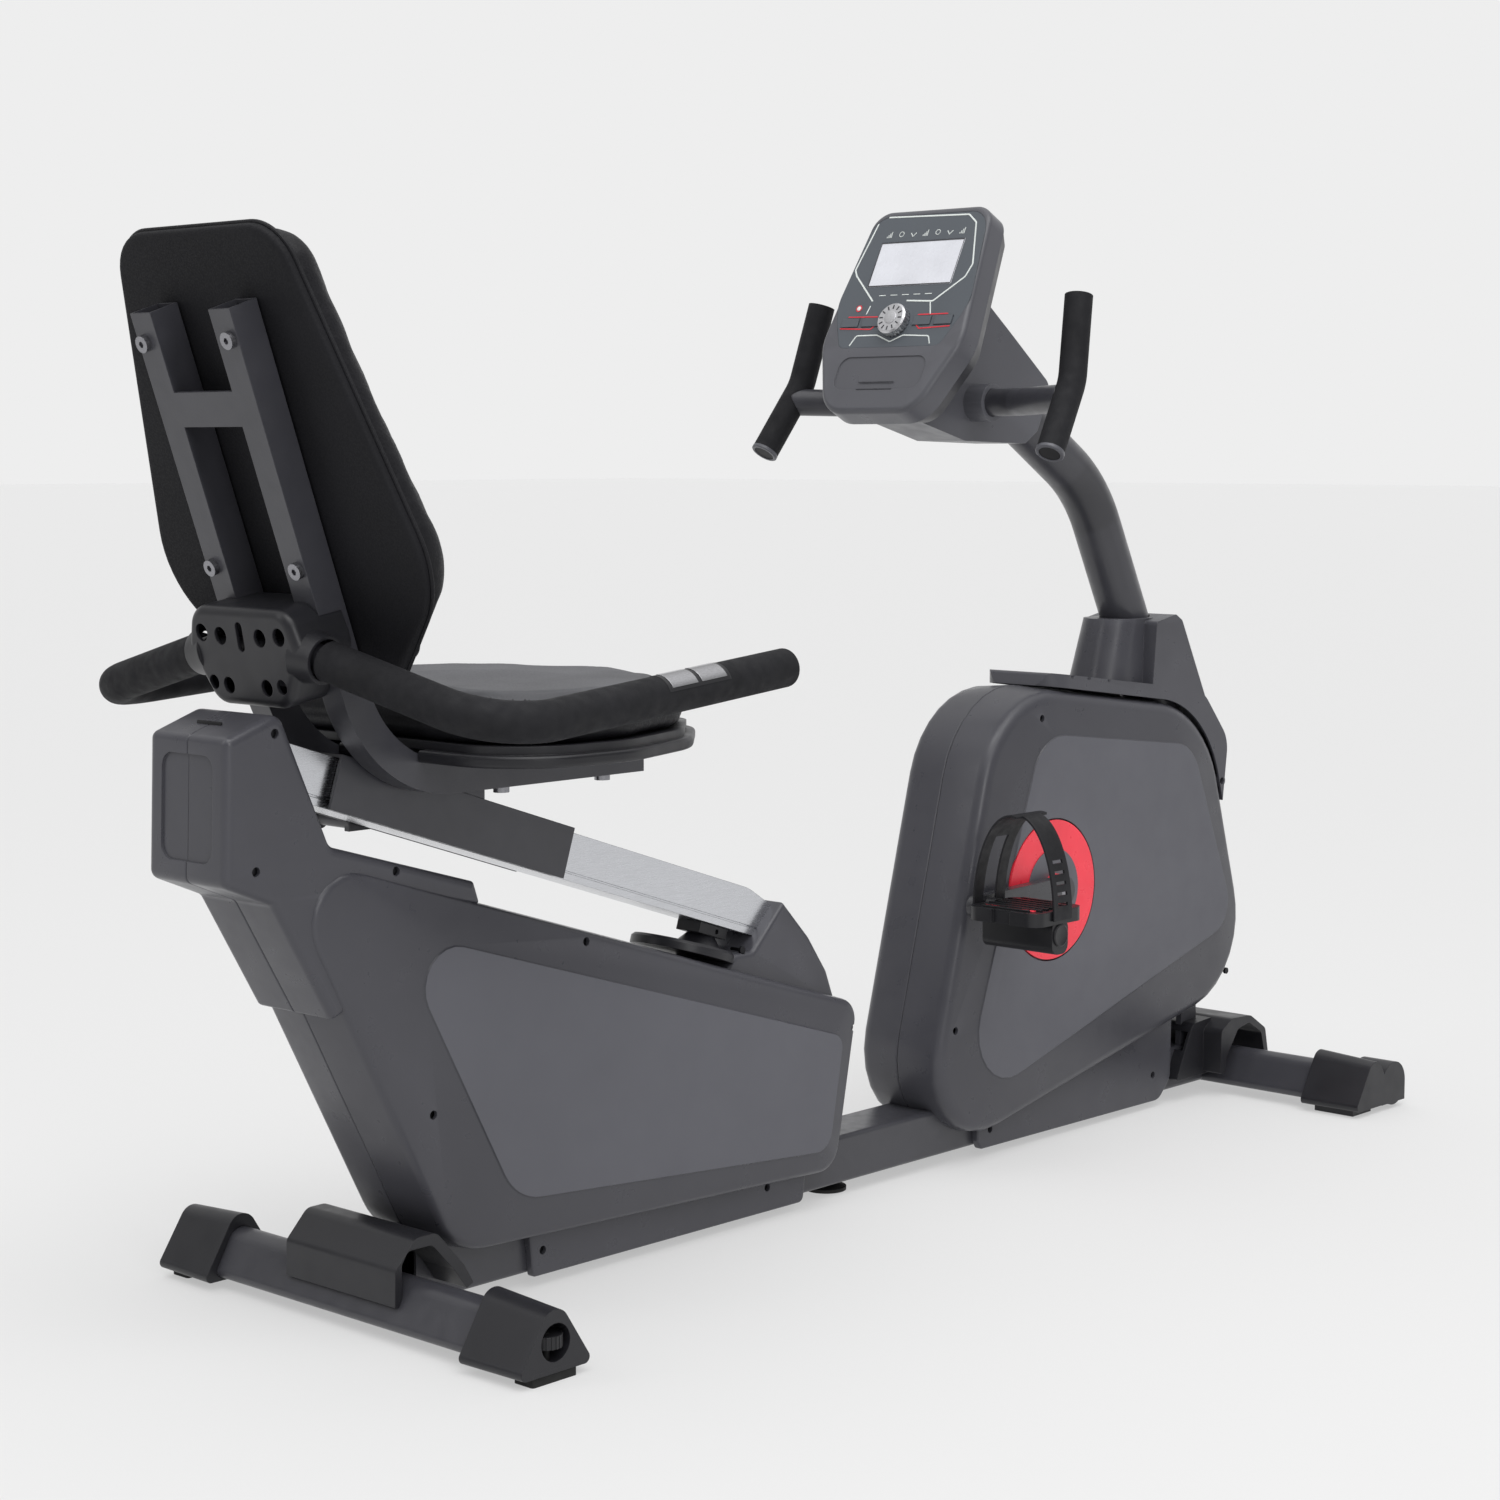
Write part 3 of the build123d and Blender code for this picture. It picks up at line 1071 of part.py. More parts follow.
lean = math.radians(BACK_LEAN)
BAR_TOP = 28.0
SEAT_TUBE_Z = 534.8
SEAT_TUBE_END = 360.0
SEAT_BEND = 125.0
TUBE_Y = 58.0
bar_mid = back_plane(BAR_DEPTH / 2)
bar_start = bar_mid.from_local_coords(Vector(0, BAR_TOP, 0))
corner_drop = (bar_start.Z - SEAT_TUBE_Z) / math.cos(lean)
bar_corner = bar_mid.from_local_coords(Vector(0, BAR_TOP - corner_drop, 0))
seat_bolts = side([(177, 0), (315, 0)])
tube_low = SEAT_TUBE_Z - BAR_DEPTH / 2
with BuildPart() as seat_frame:
    for y in (-TUBE_Y, TUBE_Y):
        tube_wire = bent_path(
            [
                (bar_start.X, y, bar_start.Z),
                (bar_corner.X, y, SEAT_TUBE_Z),
                (SEAT_TUBE_END + DATUM_X, y, SEAT_TUBE_Z + 0.8),
            ],
            SEAT_BEND,
        )
        with BuildSketch(Plane(origin=tube_wire @ 0, x_dir=(0, 1, 0), z_dir=tube_wire % 0)) as tube_section:
            Rectangle(BAR, BAR_DEPTH)
            Rectangle(BAR - 4, BAR_DEPTH - 4, mode=Mode.SUBTRACT)
        sweep(tube_section.sketch, path=tube_wire)
    with BuildSketch(back_plane(0)):
        with Locations((0, -64)):
            Rectangle(2 * TUBE_Y - BAR + 1, 33)
    extrude(amount=4)
    with Locations((seat_bolts[0][0], 0, SEAT_TUBE_Z + 1), (seat_bolts[1][0], 0, SEAT_TUBE_Z + 2)):
        Box(30, 2 * TUBE_Y - BAR + 1, 26)
    wedge_low = (SLEEVE_HIGH + FIT)
    wedge_a = (wedge_low - (175 * math.sin(slope))) / math.cos(slope)
    wedge_b = (wedge_low - (70 * math.sin(slope))) / math.cos(slope)
    for y_start in (-36, 26):
        with BuildSketch(Plane.XZ.offset(y_start)):
            with BuildLine():
                Polyline(
                    *side([
                        (70, wedge_b), (175, wedge_a), (175, SEAT_TUBE_Z + 8), (70, SEAT_TUBE_Z + 8),
                    ]),
                    close=True,
                )
            make_face()
        extrude(amount=10)
    with BuildSketch(back_plane(-1)):
        with Locations((-62.6, 0), (62.6, 0), (-62.6, -217), (62.6, -217)):
            Circle(4 + SHAFT_FIT)
    extrude(amount=BAR_DEPTH + 2, mode=Mode.SUBTRACT)
    for x, _ in seat_bolts:
        with Locations((x, -TUBE_Y, SEAT_TUBE_Z), (x, TUBE_Y, SEAT_TUBE_Z)):
            Cylinder(4 + SHAFT_FIT, 60, mode=Mode.SUBTRACT)
seat_frame.part.label = "seat_frame"
export_step(seat_frame.part, "parts/seat_frame.step")

with BuildPart() as carriage_bolts:
    with BuildSketch(back_plane(0)):
        with Locations((-62.6, 0), (62.6, 0), (-62.6, -217), (62.6, -217)):
            Circle(8)
    extrude(amount=-5.5)
    with BuildSketch(back_plane(-5.5)):
        with Locations((-62.6, 0), (62.6, 0), (-62.6, -217), (62.6, -217)):
            Circle(4)
    extrude(amount=BAR_DEPTH + 5.5 + BOARD_THICK - 3)
    with BuildSketch(back_plane(-5.5)):
        with Locations((-62.6, 0), (62.6, 0), (-62.6, -217), (62.6, -217)):
            RegularPolygon(3.2, 6)
    extrude(amount=3.5, mode=Mode.SUBTRACT)
    for k, (x, _) in enumerate(seat_bolts):
        rise = 0.6 * k - 0.1
        with Locations((x, -TUBE_Y, tube_low + rise), (x, TUBE_Y, tube_low + rise)):
            Cylinder(8, 6, align=DOWNWARD)
        with Locations((x, -TUBE_Y, tube_low + rise - 1), (x, TUBE_Y, tube_low + rise - 1)):
            Cylinder(4, SEAT_LOW + 8 - tube_low, align=UPWARD)
carriage_bolts.part.label = "carriage_bolts"
export_step(carriage_bolts.part, "parts/carriage_bolts.step")

seat_half = SEAT_WIDTH / 2
seat_rear = SEAT_MID_X - SEAT_LENGTH / 2
seat_front = SEAT_MID_X + SEAT_LENGTH / 2
seat_outline = rounded(
    side([
        (seat_rear, -seat_half + 5), (seat_rear + 150, -seat_half - 4), (seat_front - 90, -seat_half + 36),
        (seat_front, -seat_half + 118), (seat_front, seat_half - 118), (seat_front - 90, seat_half - 36),
        (seat_rear + 150, seat_half + 4), (seat_rear, seat_half - 5),
    ]),
    [92, 120, 120, 60, 60, 120, 120, 92],
)
with BuildPart() as seat_base:
    with BuildSketch(Plane.XY.offset(SEAT_LOW)):
        add(seat_outline)
    extrude(amount=12)
    fillet(seat_base.faces().sort_by(Axis.Z)[0].edges(), 4)
    fillet(seat_base.faces().sort_by(Axis.Z)[-1].edges(), 4)
    with BuildSketch(Plane.XY.offset(SEAT_LOW + 2)):
        add(grown(seat_outline, -9))
    extrude(amount=18)
    for x, _ in seat_bolts:
        with Locations((x, -TUBE_Y, SEAT_LOW), (x, TUBE_Y, SEAT_LOW)):
            Cylinder(4 + SHAFT_FIT, 24, mode=Mode.SUBTRACT)
    for y in (-TUBE_Y, TUBE_Y):
        with Locations((seat_rear + DATUM_X, y, SEAT_LOW)):
            Box(108, BAR + 2 * RUN, 24, mode=Mode.SUBTRACT)
seat_base.part.label = "seat_base"
export_step(seat_base.part, "parts/seat_base.step")

with BuildPart() as seat_cushion:
    with BuildSketch(Plane.XY.offset(SEAT_LOW + 20 + FIT)):
        add(grown(seat_outline, -6))
    extrude(amount=SEAT_HEIGHT - 20 - FIT)
    fillet(seat_cushion.faces().sort_by(Axis.Z)[-1].edges(), 16)
seat_cushion.part.label = "seat_cushion"
export_step(seat_cushion.part, "parts/seat_cushion.step")

board_points = [(115, 92), (198, -244), (96, -354)]
board_outline = rounded(whole(board_points), [48, 90, 62, 62, 90, 48])
with BuildPart() as backrest_board:
    with BuildSketch(back_plane(BOARD_GAP)):
        add(board_outline)
    extrude(amount=BOARD_THICK)
    fillet(backrest_board.faces().sort_by(Axis.X)[0].edges(), 3)
    with BuildSketch(back_plane(BOARD_GAP - 1)):
        with Locations((-62.6, 0), (62.6, 0), (-62.6, -217), (62.6, -217)):
            Circle(4 + SHAFT_FIT)
    extrude(amount=BOARD_THICK - 1, mode=Mode.SUBTRACT)
backrest_board.part.label = "backrest_board"
export_step(backrest_board.part, "parts/backrest_board.step")

with BuildPart() as backrest_cushion:
    with BuildSketch(back_plane(BOARD_GAP + BOARD_THICK + FIT)):
        add(grown(board_outline, -1))
    extrude(amount=BACK_CUSHION_THICK)
    fillet(backrest_cushion.faces().sort_by(Axis.X)[-1].edges(), 16)
backrest_cushion.part.label = "backrest_cushion"
export_step(backrest_cushion.part, "parts/backrest_cushion.step")

# rear handlebar with its foam grips and pulse plates
HANDLE_X = -66.0
HANDLE_Z = 660.0
HANDLE_BEND = 70.0
hub_right = Vector(HANDLE_X + DATUM_X, -75, HANDLE_Z)
bend_right = Vector(-45 + DATUM_X, -301, 604)
end_right = Vector(345 + DATUM_X, -276, 636)


def mirrored(v):
    return Vector(v.X, -v.Y, v.Z)


with BuildPart() as rear_handlebar:
    handle_wire = bent_path(
        [
            end_right, bend_right, hub_right,
            mirrored(hub_right), mirrored(bend_right), mirrored(end_right),
        ],
        HANDLE_BEND,
    )
    with BuildSketch(Plane(origin=handle_wire @ 0, z_dir=handle_wire % 0)) as handle_section:
        Circle(HANDLE_TUBE / 2)
        Circle(HANDLE_TUBE / 2 - 2, mode=Mode.SUBTRACT)
    sweep(handle_section.sketch, path=handle_wire)
rear_handlebar.part.label = "rear_handlebar"
export_step(rear_handlebar.part, "parts/rear_handlebar.step")

grip_from = hub_right + (bend_right - hub_right) * (19.0 / 226.0)
forward_axis = (end_right - bend_right).normalized()
grip_to = end_right + forward_axis * 1.0
with BuildPart() as grip_half:
    grip_wire = bent_path([grip_from, bend_right, grip_to], HANDLE_BEND)
    with BuildSketch(Plane(origin=grip_wire @ 0, z_dir=grip_wire % 0)) as grip_section:
        Circle(HANDLE_GRIP / 2)
        Circle(HANDLE_TUBE / 2 + SHAFT_FIT, mode=Mode.SUBTRACT)
    sweep(grip_section.sketch, path=grip_wire)
    with BuildSketch(Plane(origin=grip_to, z_dir=forward_axis)):
        Circle(HANDLE_GRIP / 2)
    extrude(amount=5)
    fillet(grip_half.faces().sort_by(Axis.X)[-1].edges(), 4)
with BuildPart() as rear_grips:
    add(grip_half.part)
    mirror(grip_half.part, about=Plane.XZ)
rear_grips.part.label = "rear_grips"
export_step(rear_grips.part, "parts/rear_grips.step")

with BuildPart() as pulse_half:
    for reach in (150.0, 108.0):
        spot = end_right - forward_axis * (reach + 32)
        with BuildSketch(Plane(origin=spot, x_dir=(0, -1, 0), z_dir=forward_axis)) as plate:
            Circle(HANDLE_GRIP / 2 + 0.9)
            Circle(HANDLE_GRIP / 2 + 0.1, mode=Mode.SUBTRACT)
            with Locations((-8, -14)):
                Rectangle(80, 44, rotation=35, mode=Mode.SUBTRACT)
        extrude(plate.sketch, amount=34)
with BuildPart() as pulse_sensors:
    add(pulse_half.part)
    mirror(pulse_half.part, about=Plane.XZ)
pulse_sensors.part.label = "pulse_sensors"
export_step(pulse_sensors.part, "parts/pulse_sensors.step")

# hub cover where handlebar and backrest tubes meet
hub_lean = math.radians(10.5)
hub_normal = Vector(math.cos(hub_lean), 0, math.sin(hub_lean))
hub_plane = Plane(origin=(-88.5 + DATUM_X, 0, 655), x_dir=(0, 1, 0), z_dir=hub_normal)
hub_points = [(70, 47), (84, 6), (52, -47)]
hub_outline = rounded(hub_points + [(-x, z) for x, z in reversed(hub_points)], [24, 24, 24, 24, 24, 24])
HUB_DEPTH = 62.0
with BuildPart() as hub_cover:
    with BuildSketch(hub_plane):
        add(hub_outline)
    extrude(amount=HUB_DEPTH)
    fillet(hub_cover.faces().sort_by(Axis.X)[0].edges(), 9)
    for way in (-1, 1):
        spot = Vector(HANDLE_X + DATUM_X, way * 64, HANDLE_Z)
        with BuildSketch(Plane(origin=spot, z_dir=(0.06, way * 0.97, -0.15))):
            Circle(26)
        with BuildSketch(Plane(origin=spot + Vector(1.5, way * 26, -4), z_dir=(0.06, way * 0.97, -0.15))):
            Circle(22.5)
        loft(ruled=True)
    with BuildSketch(hub_plane.offset(3.5)):
        add(grown(hub_outline, -3.5))
    extrude(amount=HUB_DEPTH, mode=Mode.SUBTRACT)
    hub_wire = bent_path([hub_right + (bend_right - hub_right) * 0.3, hub_right, mirrored(hub_right),
                          mirrored(hub_right + (bend_right - hub_right) * 0.3)], HANDLE_BEND)
    with BuildSketch(Plane(origin=hub_wire @ 0, z_dir=hub_wire % 0)) as hub_bore:
        Circle(HANDLE_GRIP / 2 + FIT)
    sweep(hub_bore.sketch, path=hub_wire, mode=Mode.SUBTRACT)
    for y in (-TUBE_Y, TUBE_Y):
        with BuildSketch(back_plane(-0.5)):
            with Locations((y, -300)):
                Rectangle(BAR + 2, 200)
        extrude(amount=80, mode=Mode.SUBTRACT)
    with BuildSketch(hub_plane.offset(-1)):
        with Locations((-29, 20), (29, 20), (-57, 22), (57, 22)):
            Circle(8.5)
        with Locations((0, 20)):
            SlotOverall(28, 10, rotation=90)
        with Locations((-28, -27), (28, -27)):
            Circle(8)
        with Locations((-50, -25), (50, -25)):
            Circle(7)
    extrude(amount=10, mode=Mode.SUBTRACT)
hub_cover.part.label = "hub_cover"
export_step(hub_cover.part, "parts/hub_cover.step")

# seat lock lever on the left of the sleeve
with BuildPart() as lock_lever:
    with Locations((LEVER_X + DATUM_X, SLEEVE_WIDTH / 2 + 4.5, LEVER_Z)):
        Cylinder(13, 7, rotation=(90, 0, 0))
    with Locations((LEVER_X - 26 + DATUM_X, SLEEVE_WIDTH / 2 + 4.5, LEVER_Z - 4)):
        Box(60, 7, 18)
    with Locations((LEVER_X - 50 + DATUM_X, SLEEVE_WIDTH / 2 + 1 + 62, LEVER_Z - 4)):
        Cylinder(7, 124, rotation=(90, 0, 0))
    with Locations((LEVER_X - 50 + DATUM_X, SLEEVE_WIDTH / 2 + 90, LEVER_Z - 4)):
        Cylinder(11, 76, rotation=(90, 0, 0))
    with Locations((LEVER_X + DATUM_X, SLEEVE_WIDTH / 2 + 4.5, LEVER_Z)):
        Cylinder(5 + SHAFT_FIT, 20, rotation=(90, 0, 0), mode=Mode.SUBTRACT)
lock_lever.part.label = "lock_lever"
export_step(lock_lever.part, "parts/lock_lever.step")

# ------------------------------------------------------------------ console
console_points = [(86, 109), (105, -66), (68, -156)]
console_outline = rounded(whole(console_points), [27, 60, 42, 42, 60, 27])
faceplate_points = [(83, 101), (99, -20), (74, -73)]
faceplate_outline = rounded(
    faceplate_points + [(-x, s) for x, s in reversed(faceplate_points)], [28, 60, 12, 12, 60, 28]
)
LENS = (0, 36.5, 124, 59)
KNOB = (0, -41)
KNOB_RADIUS = 19.5
BUTTONS = [(-69, -40), (-38, -40), (38, -40), (69, -40)]
BUTTON_SIZE = (25, 11)
BUTTON_FIT = 0.4
with BuildPart() as console_front_shell:
    with BuildSketch(face_plane(0)):
        add(console_outline)
    extrude(amount=-CONSOLE_FRONT)
    fillet(console_front_shell.faces().sort_by(Axis((0, 0, 0), (-0.889, 0, 0.457)))[-1].edges(), 6)
    with BuildSketch(face_plane(-7)):
        add(grown(console_outline, -3))
    extrude(amount=-CONSOLE_FRONT, mode=Mode.SUBTRACT)
    with BuildSketch(face_plane(-1.6)):
        add(faceplate_outline)
    extrude(amount=5, mode=Mode.SUBTRACT)
    with BuildSketch(face_plane(-1.6)):
        for spot in BUTTONS:
            with Locations(spot):
                Rectangle(BUTTON_SIZE[0] + 2 * BUTTON_FIT, BUTTON_SIZE[1] + 2 * BUTTON_FIT)
    extrude(amount=-3, mode=Mode.SUBTRACT)
    with BuildSketch(face_plane(0)):
        with Locations(KNOB):
            Circle(4 + SHAFT_FIT)
    extrude(amount=-12, mode=Mode.SUBTRACT)
    with BuildSketch(face_plane(-1.2)):
        with Locations((0, -106)):
            RectangleRounded(128, 42, 14)
    extrude(amount=4, mode=Mode.SUBTRACT)
console_front_shell.part.label = "console_front_shell"
export_step(console_front_shell.part, "parts/console_front_shell.step")

with BuildPart() as console_back_shell:
    with BuildSketch(face_plane(-CONSOLE_FRONT - FIT)):
        add(grown(console_outline, -1))
    with BuildSketch(face_plane(-CONSOLE_FRONT - CONSOLE_BACK)):
        add(grown(console_outline, -14))
    loft(ruled=True)
    with BuildSketch(face_plane(-CONSOLE_FRONT)):
        add(grown(console_outline, -17))
    extrude(amount=-CONSOLE_BACK + 3, mode=Mode.SUBTRACT)
console_back_shell.part.label = "console_back_shell"
export_step(console_back_shell.part, "parts/console_back_shell.step")

with BuildPart() as console_faceplate:
    with BuildSketch(face_plane(-1.5)):
        add(grown(faceplate_outline, -FIT))
        with Locations(LENS[:2]):
            Rectangle(LENS[2], LENS[3], mode=Mode.SUBTRACT)
        with Locations(KNOB):
            Circle(4.5, mode=Mode.SUBTRACT)
        for spot in BUTTONS:
            with Locations(spot):
                Rectangle(
                    BUTTON_SIZE[0] + 2 * BUTTON_FIT, BUTTON_SIZE[1] + 2 * BUTTON_FIT, mode=Mode.SUBTRACT
                )
    extrude(amount=1.3)
console_faceplate.part.label = "console_faceplate"
export_step(console_faceplate.part, "parts/console_faceplate.step")

with BuildPart() as console_lens:
    with BuildSketch(face_plane(-1.5)):
        with Locations(LENS[:2]):
            Rectangle(LENS[2] - 2 * FIT, LENS[3] - 2 * FIT)
    extrude(amount=1.4)
console_lens.part.label = "console_lens"
export_step(console_lens.part, "parts/console_lens.step")

with BuildPart() as console_knob:
    with BuildSketch(face_plane(0.5)):
        with Locations(KNOB):
            Circle(KNOB_RADIUS)
    extrude(amount=11)
    chamfer(console_knob.faces().sort_by(Axis((0, 0, 0), (-0.889, 0, 0.457)))[-1].edges(), 2)
    with BuildSketch(face_plane(9)):
        with Locations(KNOB):
            with PolarLocations(KNOB_RADIUS, 24):
                Circle(1.3)
    extrude(amount=-9, mode=Mode.SUBTRACT)
    with BuildSketch(face_plane(-6)):
        with Locations(KNOB):
            Circle(4)
    extrude(amount=8)
console_knob.part.label = "console_knob"
export_step(console_knob.part, "parts/console_knob.step")


def button(spot):
    with BuildSketch(face_plane(-3)) as key:
        with Locations(spot):
            Rectangle(*BUTTON_SIZE)
    extrude(key.sketch, amount=4)


with BuildPart() as button_1:
    button(BUTTONS[0])
button_1.part.label = "button_1"
export_step(button_1.part, "parts/button_1.step")

with BuildPart() as button_2:
    button(BUTTONS[1])
button_2.part.label = "button_2"
export_step(button_2.part, "parts/button_2.step")

with BuildPart() as button_3:
    button(BUTTONS[2])
button_3.part.label = "button_3"
export_step(button_3.part, "parts/button_3.step")

with BuildPart() as button_4:
    button(BUTTONS[3])
button_4.part.label = "button_4"
export_step(button_4.part, "parts/button_4.step")

MOUNT_HALF = 36.0
BAR_X = 948.0
BAR_Z = 900.0
mast_end = Vector(MAST_PATH[2][0] + DATUM_X, 0, MAST_PATH[2][1])
mast_top_axis = (mast_turn - mast_end).normalized()
mount_outline = rounded(
    side([
        (838, 880), (931, 856), (1046, 853), (1070, 868),
        (1096, 922), (1014, 984), (930, 1046), (880, 1000),
    ]),
    [4, 10, 10, 10, 16, 20, 0, 0],
)
with BuildPart() as console_mount:
    with BuildSketch(Plane.XZ.offset(-MOUNT_HALF)):
        add(mount_outline)
    extrude(amount=2 * MOUNT_HALF)
    with BuildSketch(Plane.XZ.offset(-MOUNT_HALF + 3)):
        add(grown(mount_outline, -3))
    extrude(amount=2 * MOUNT_HALF - 6, mode=Mode.SUBTRACT)
    with Locations((BAR_X + DATUM_X, 0, BAR_Z)):
        Cylinder(22, 126, rotation=(90, 0, 0))
    with BuildSketch(face_plane(-CONSOLE_FRONT - CONSOLE_BACK - FIT)):
        Rectangle(600, 600)
    extrude(amount=200, mode=Mode.SUBTRACT)
    with BuildSketch(Plane(origin=mast_end - mast_top_axis * 1, x_dir=(0, 1, 0), z_dir=mast_top_axis)):
        Circle(MAST_DIA / 2 + FIT)
    extrude(amount=200, mode=Mode.SUBTRACT)
    with Locations((BAR_X + DATUM_X, 0, BAR_Z)):
        Cylinder(16 + FIT, 200, rotation=(90, 0, 0), mode=Mode.SUBTRACT)
    for y in (-22, 22):
        with Locations((985 + DATUM_X, y, 850)):
            Box(88, 5, 16, mode=Mode.SUBTRACT)
console_mount.part.label = "console_mount"
export_step(console_mount.part, "parts/console_mount.step")

GRIP_TOP = Vector(937 + DATUM_X, -191.5, 1018)
GRIP_TURN = Vector(912 + DATUM_X, -202, 922)
GRIP_END = Vector(857 + DATUM_X, -212.7, 842)
GRIP_CORE = 12.0
bar_joint = GRIP_TURN + (GRIP_END - GRIP_TURN) * 0.24
bar_turn = Vector(BAR_X + DATUM_X, -92, BAR_Z)
neck_axis = (bar_turn - bar_joint).normalized()
grip_ends = [
    (GRIP_TOP, GRIP_TURN, GRIP_END),
    (mirrored(GRIP_TOP), mirrored(GRIP_TURN), mirrored(GRIP_END)),
]
neck_ends = [(bar_joint, neck_axis), (mirrored(bar_joint), mirrored(neck_axis))]
NECK = 9.0
with BuildPart() as console_handlebar:
    cross_wire = bent_path([bar_joint, bar_turn, mirrored(bar_turn), mirrored(bar_joint)], 60)
    with BuildSketch(Plane(origin=cross_wire @ 0, z_dir=cross_wire % 0)) as cross_section:
        Circle(GRIP_DIA / 2)
    sweep(cross_section.sketch, path=cross_wire)
    for ends in grip_ends:
        core_wire = bent_path(ends, 60)
        with BuildSketch(Plane(origin=core_wire @ 0, z_dir=core_wire % 0)) as clear_section:
            Circle(GRIP_DIA / 2 + 0.2)
        sweep(clear_section.sketch, path=core_wire, mode=Mode.SUBTRACT)
        with BuildSketch(Plane(origin=core_wire @ 0, z_dir=core_wire % 0)) as core_section:
            Circle(GRIP_CORE)
        sweep(core_section.sketch, path=core_wire)
    for spot, along in neck_ends:
        with BuildSketch(Plane(origin=spot, z_dir=along)) as neck:
            Circle(NECK)
        extrude(neck.sketch, amount=26)
console_handlebar.part.label = "console_handlebar"
export_step(console_handlebar.part, "parts/console_handlebar.step")

with BuildPart() as console_grips:
    for ends in grip_ends:
        foam_wire = bent_path(ends, 60)
        with BuildSketch(Plane(origin=foam_wire @ 0, z_dir=foam_wire % 0)) as foam_section:
            Circle(GRIP_DIA / 2)
            Circle(GRIP_CORE + SHAFT_FIT, mode=Mode.SUBTRACT)
        sweep(foam_section.sketch, path=foam_wire)
    for spot, along in neck_ends:
        with BuildSketch(Plane(origin=spot, z_dir=along)) as neck_hole:
            Circle(NECK + 0.2)
        extrude(neck_hole.sketch, amount=20, mode=Mode.SUBTRACT)
console_grips.part.label = "console_grips"
export_step(console_grips.part, "parts/console_grips.step")

def cover_screw(x, z, face, way, reach=14):
    head_y = face - 7
    with Locations((x, way * (head_y + SCREW_HEAD / 2), z)):
        Cylinder(SCREW_HOLE / 2 - 0.4, SCREW_HEAD, rotation=(90, 0, 0))
    with Locations((x, way * (head_y + 0.5 - reach / 2), z)):
        Cylinder(SCREW_SHANK / 2, reach + 1, rotation=(90, 0, 0))


with BuildPart() as cover_screws:
    for way in (-1, 1):
        for x, z in rear_screws[:3]:
            cover_screw(x, z, COVER_HALF, way)
        for x, z in rear_screws[3:]:
            cover_screw(x, z, 42, way)
        for x, z in drive_screws:
            cover_screw(x, z, COVER_HALF, way)
        for x, z in rear_skirt_screws + drive_skirt_screws:
            cover_screw(x, z, SKIRT_Y, way, 1.5)
        for x, z in top_screws:
            cover_screw(x, z, TOP_HALF, way, 4)
        for x, z in tower_screws:
            cover_screw(x, z, TOWER_HALF, way)
cover_screws.part.label = "cover_screws"
export_step(cover_screws.part, "parts/cover_screws.step")
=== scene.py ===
"""Recumbent exercise bike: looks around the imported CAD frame."""
import json
import math

import bmesh
import bpy
import numpy as np
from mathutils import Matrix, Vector


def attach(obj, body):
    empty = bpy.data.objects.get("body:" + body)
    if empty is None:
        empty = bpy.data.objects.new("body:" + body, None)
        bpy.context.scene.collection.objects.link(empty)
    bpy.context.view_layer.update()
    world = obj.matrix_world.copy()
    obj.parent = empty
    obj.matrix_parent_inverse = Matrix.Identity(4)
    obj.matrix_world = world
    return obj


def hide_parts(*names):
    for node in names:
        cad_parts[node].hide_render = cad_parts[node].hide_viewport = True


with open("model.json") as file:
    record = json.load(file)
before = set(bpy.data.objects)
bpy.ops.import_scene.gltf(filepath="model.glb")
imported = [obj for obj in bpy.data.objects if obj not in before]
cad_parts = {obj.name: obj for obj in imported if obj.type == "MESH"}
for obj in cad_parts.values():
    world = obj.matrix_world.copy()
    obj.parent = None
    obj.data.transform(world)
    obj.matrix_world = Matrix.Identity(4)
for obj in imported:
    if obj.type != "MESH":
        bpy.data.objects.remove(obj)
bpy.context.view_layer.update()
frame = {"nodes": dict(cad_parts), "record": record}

MM = 0.001
DATUM_X = -700.0          # rear datum, as in the CAD
COVER_HALF = 61.0         # half the width of both housings
PANEL_RISE = 4.5          # how far the grey panels stand out of the sides
CROWN = 5.0               # how far the seam stands out past the rims
WALL = 3.0
SKIRT_Y = (35.2, 44.0)    # inner and outer face of the lower side plates
FACE_X, FACE_Z, FACE_TILT = 865.6, 1027.3, 27.2
BACK_X, BACK_Z, BACK_LEAN = -144.0, 942.0, 19.11
CRANK = (1070.0, 316.0)
CRANK_LENGTH = 165.0
PEDAL_Y = 149.0           # middle of a pedal, out from the centre plane
KNOB_S = -41.0            # height of the knob on the console face
GRIP_END = (345.0, 276.0, 636.0)
GRIP_BEND = (-45.0, 301.0, 604.0)
FRONT_GRIP_END = (857.0, 212.7, 842.0)
FRONT_GRIP_BEND = (912.0, 202.0, 922.0)


# ------------------------------------------------------------------ places
def at(x, y, z):
    """Millimetres from the rear datum to metres in the shared frame."""
    return Vector(((x + DATUM_X) * MM, y * MM, z * MM))


def sided(point, way):
    """A point given for the left side, put on the side that way names."""
    return at(point[0], way * point[1], point[2])


def face(u, s, d=0.0):
    """A point on the console face: u to the rider's right, s up, d toward the rider."""
    tilt = math.radians(FACE_TILT)
    x = FACE_X - math.cos(tilt) * d + math.sin(tilt) * s
    z = FACE_Z + math.sin(tilt) * d + math.cos(tilt) * s
    return at(x, -u, z)


def back(y, s, d=0.0):
    """A point by the backrest: y across, s up along it, d forward from the bars' rear face."""
    lean = math.radians(BACK_LEAN)
    x = BACK_X + math.cos(lean) * d - math.sin(lean) * s
    z = BACK_Z + math.sin(lean) * d + math.cos(lean) * s
    return at(x, y, z)


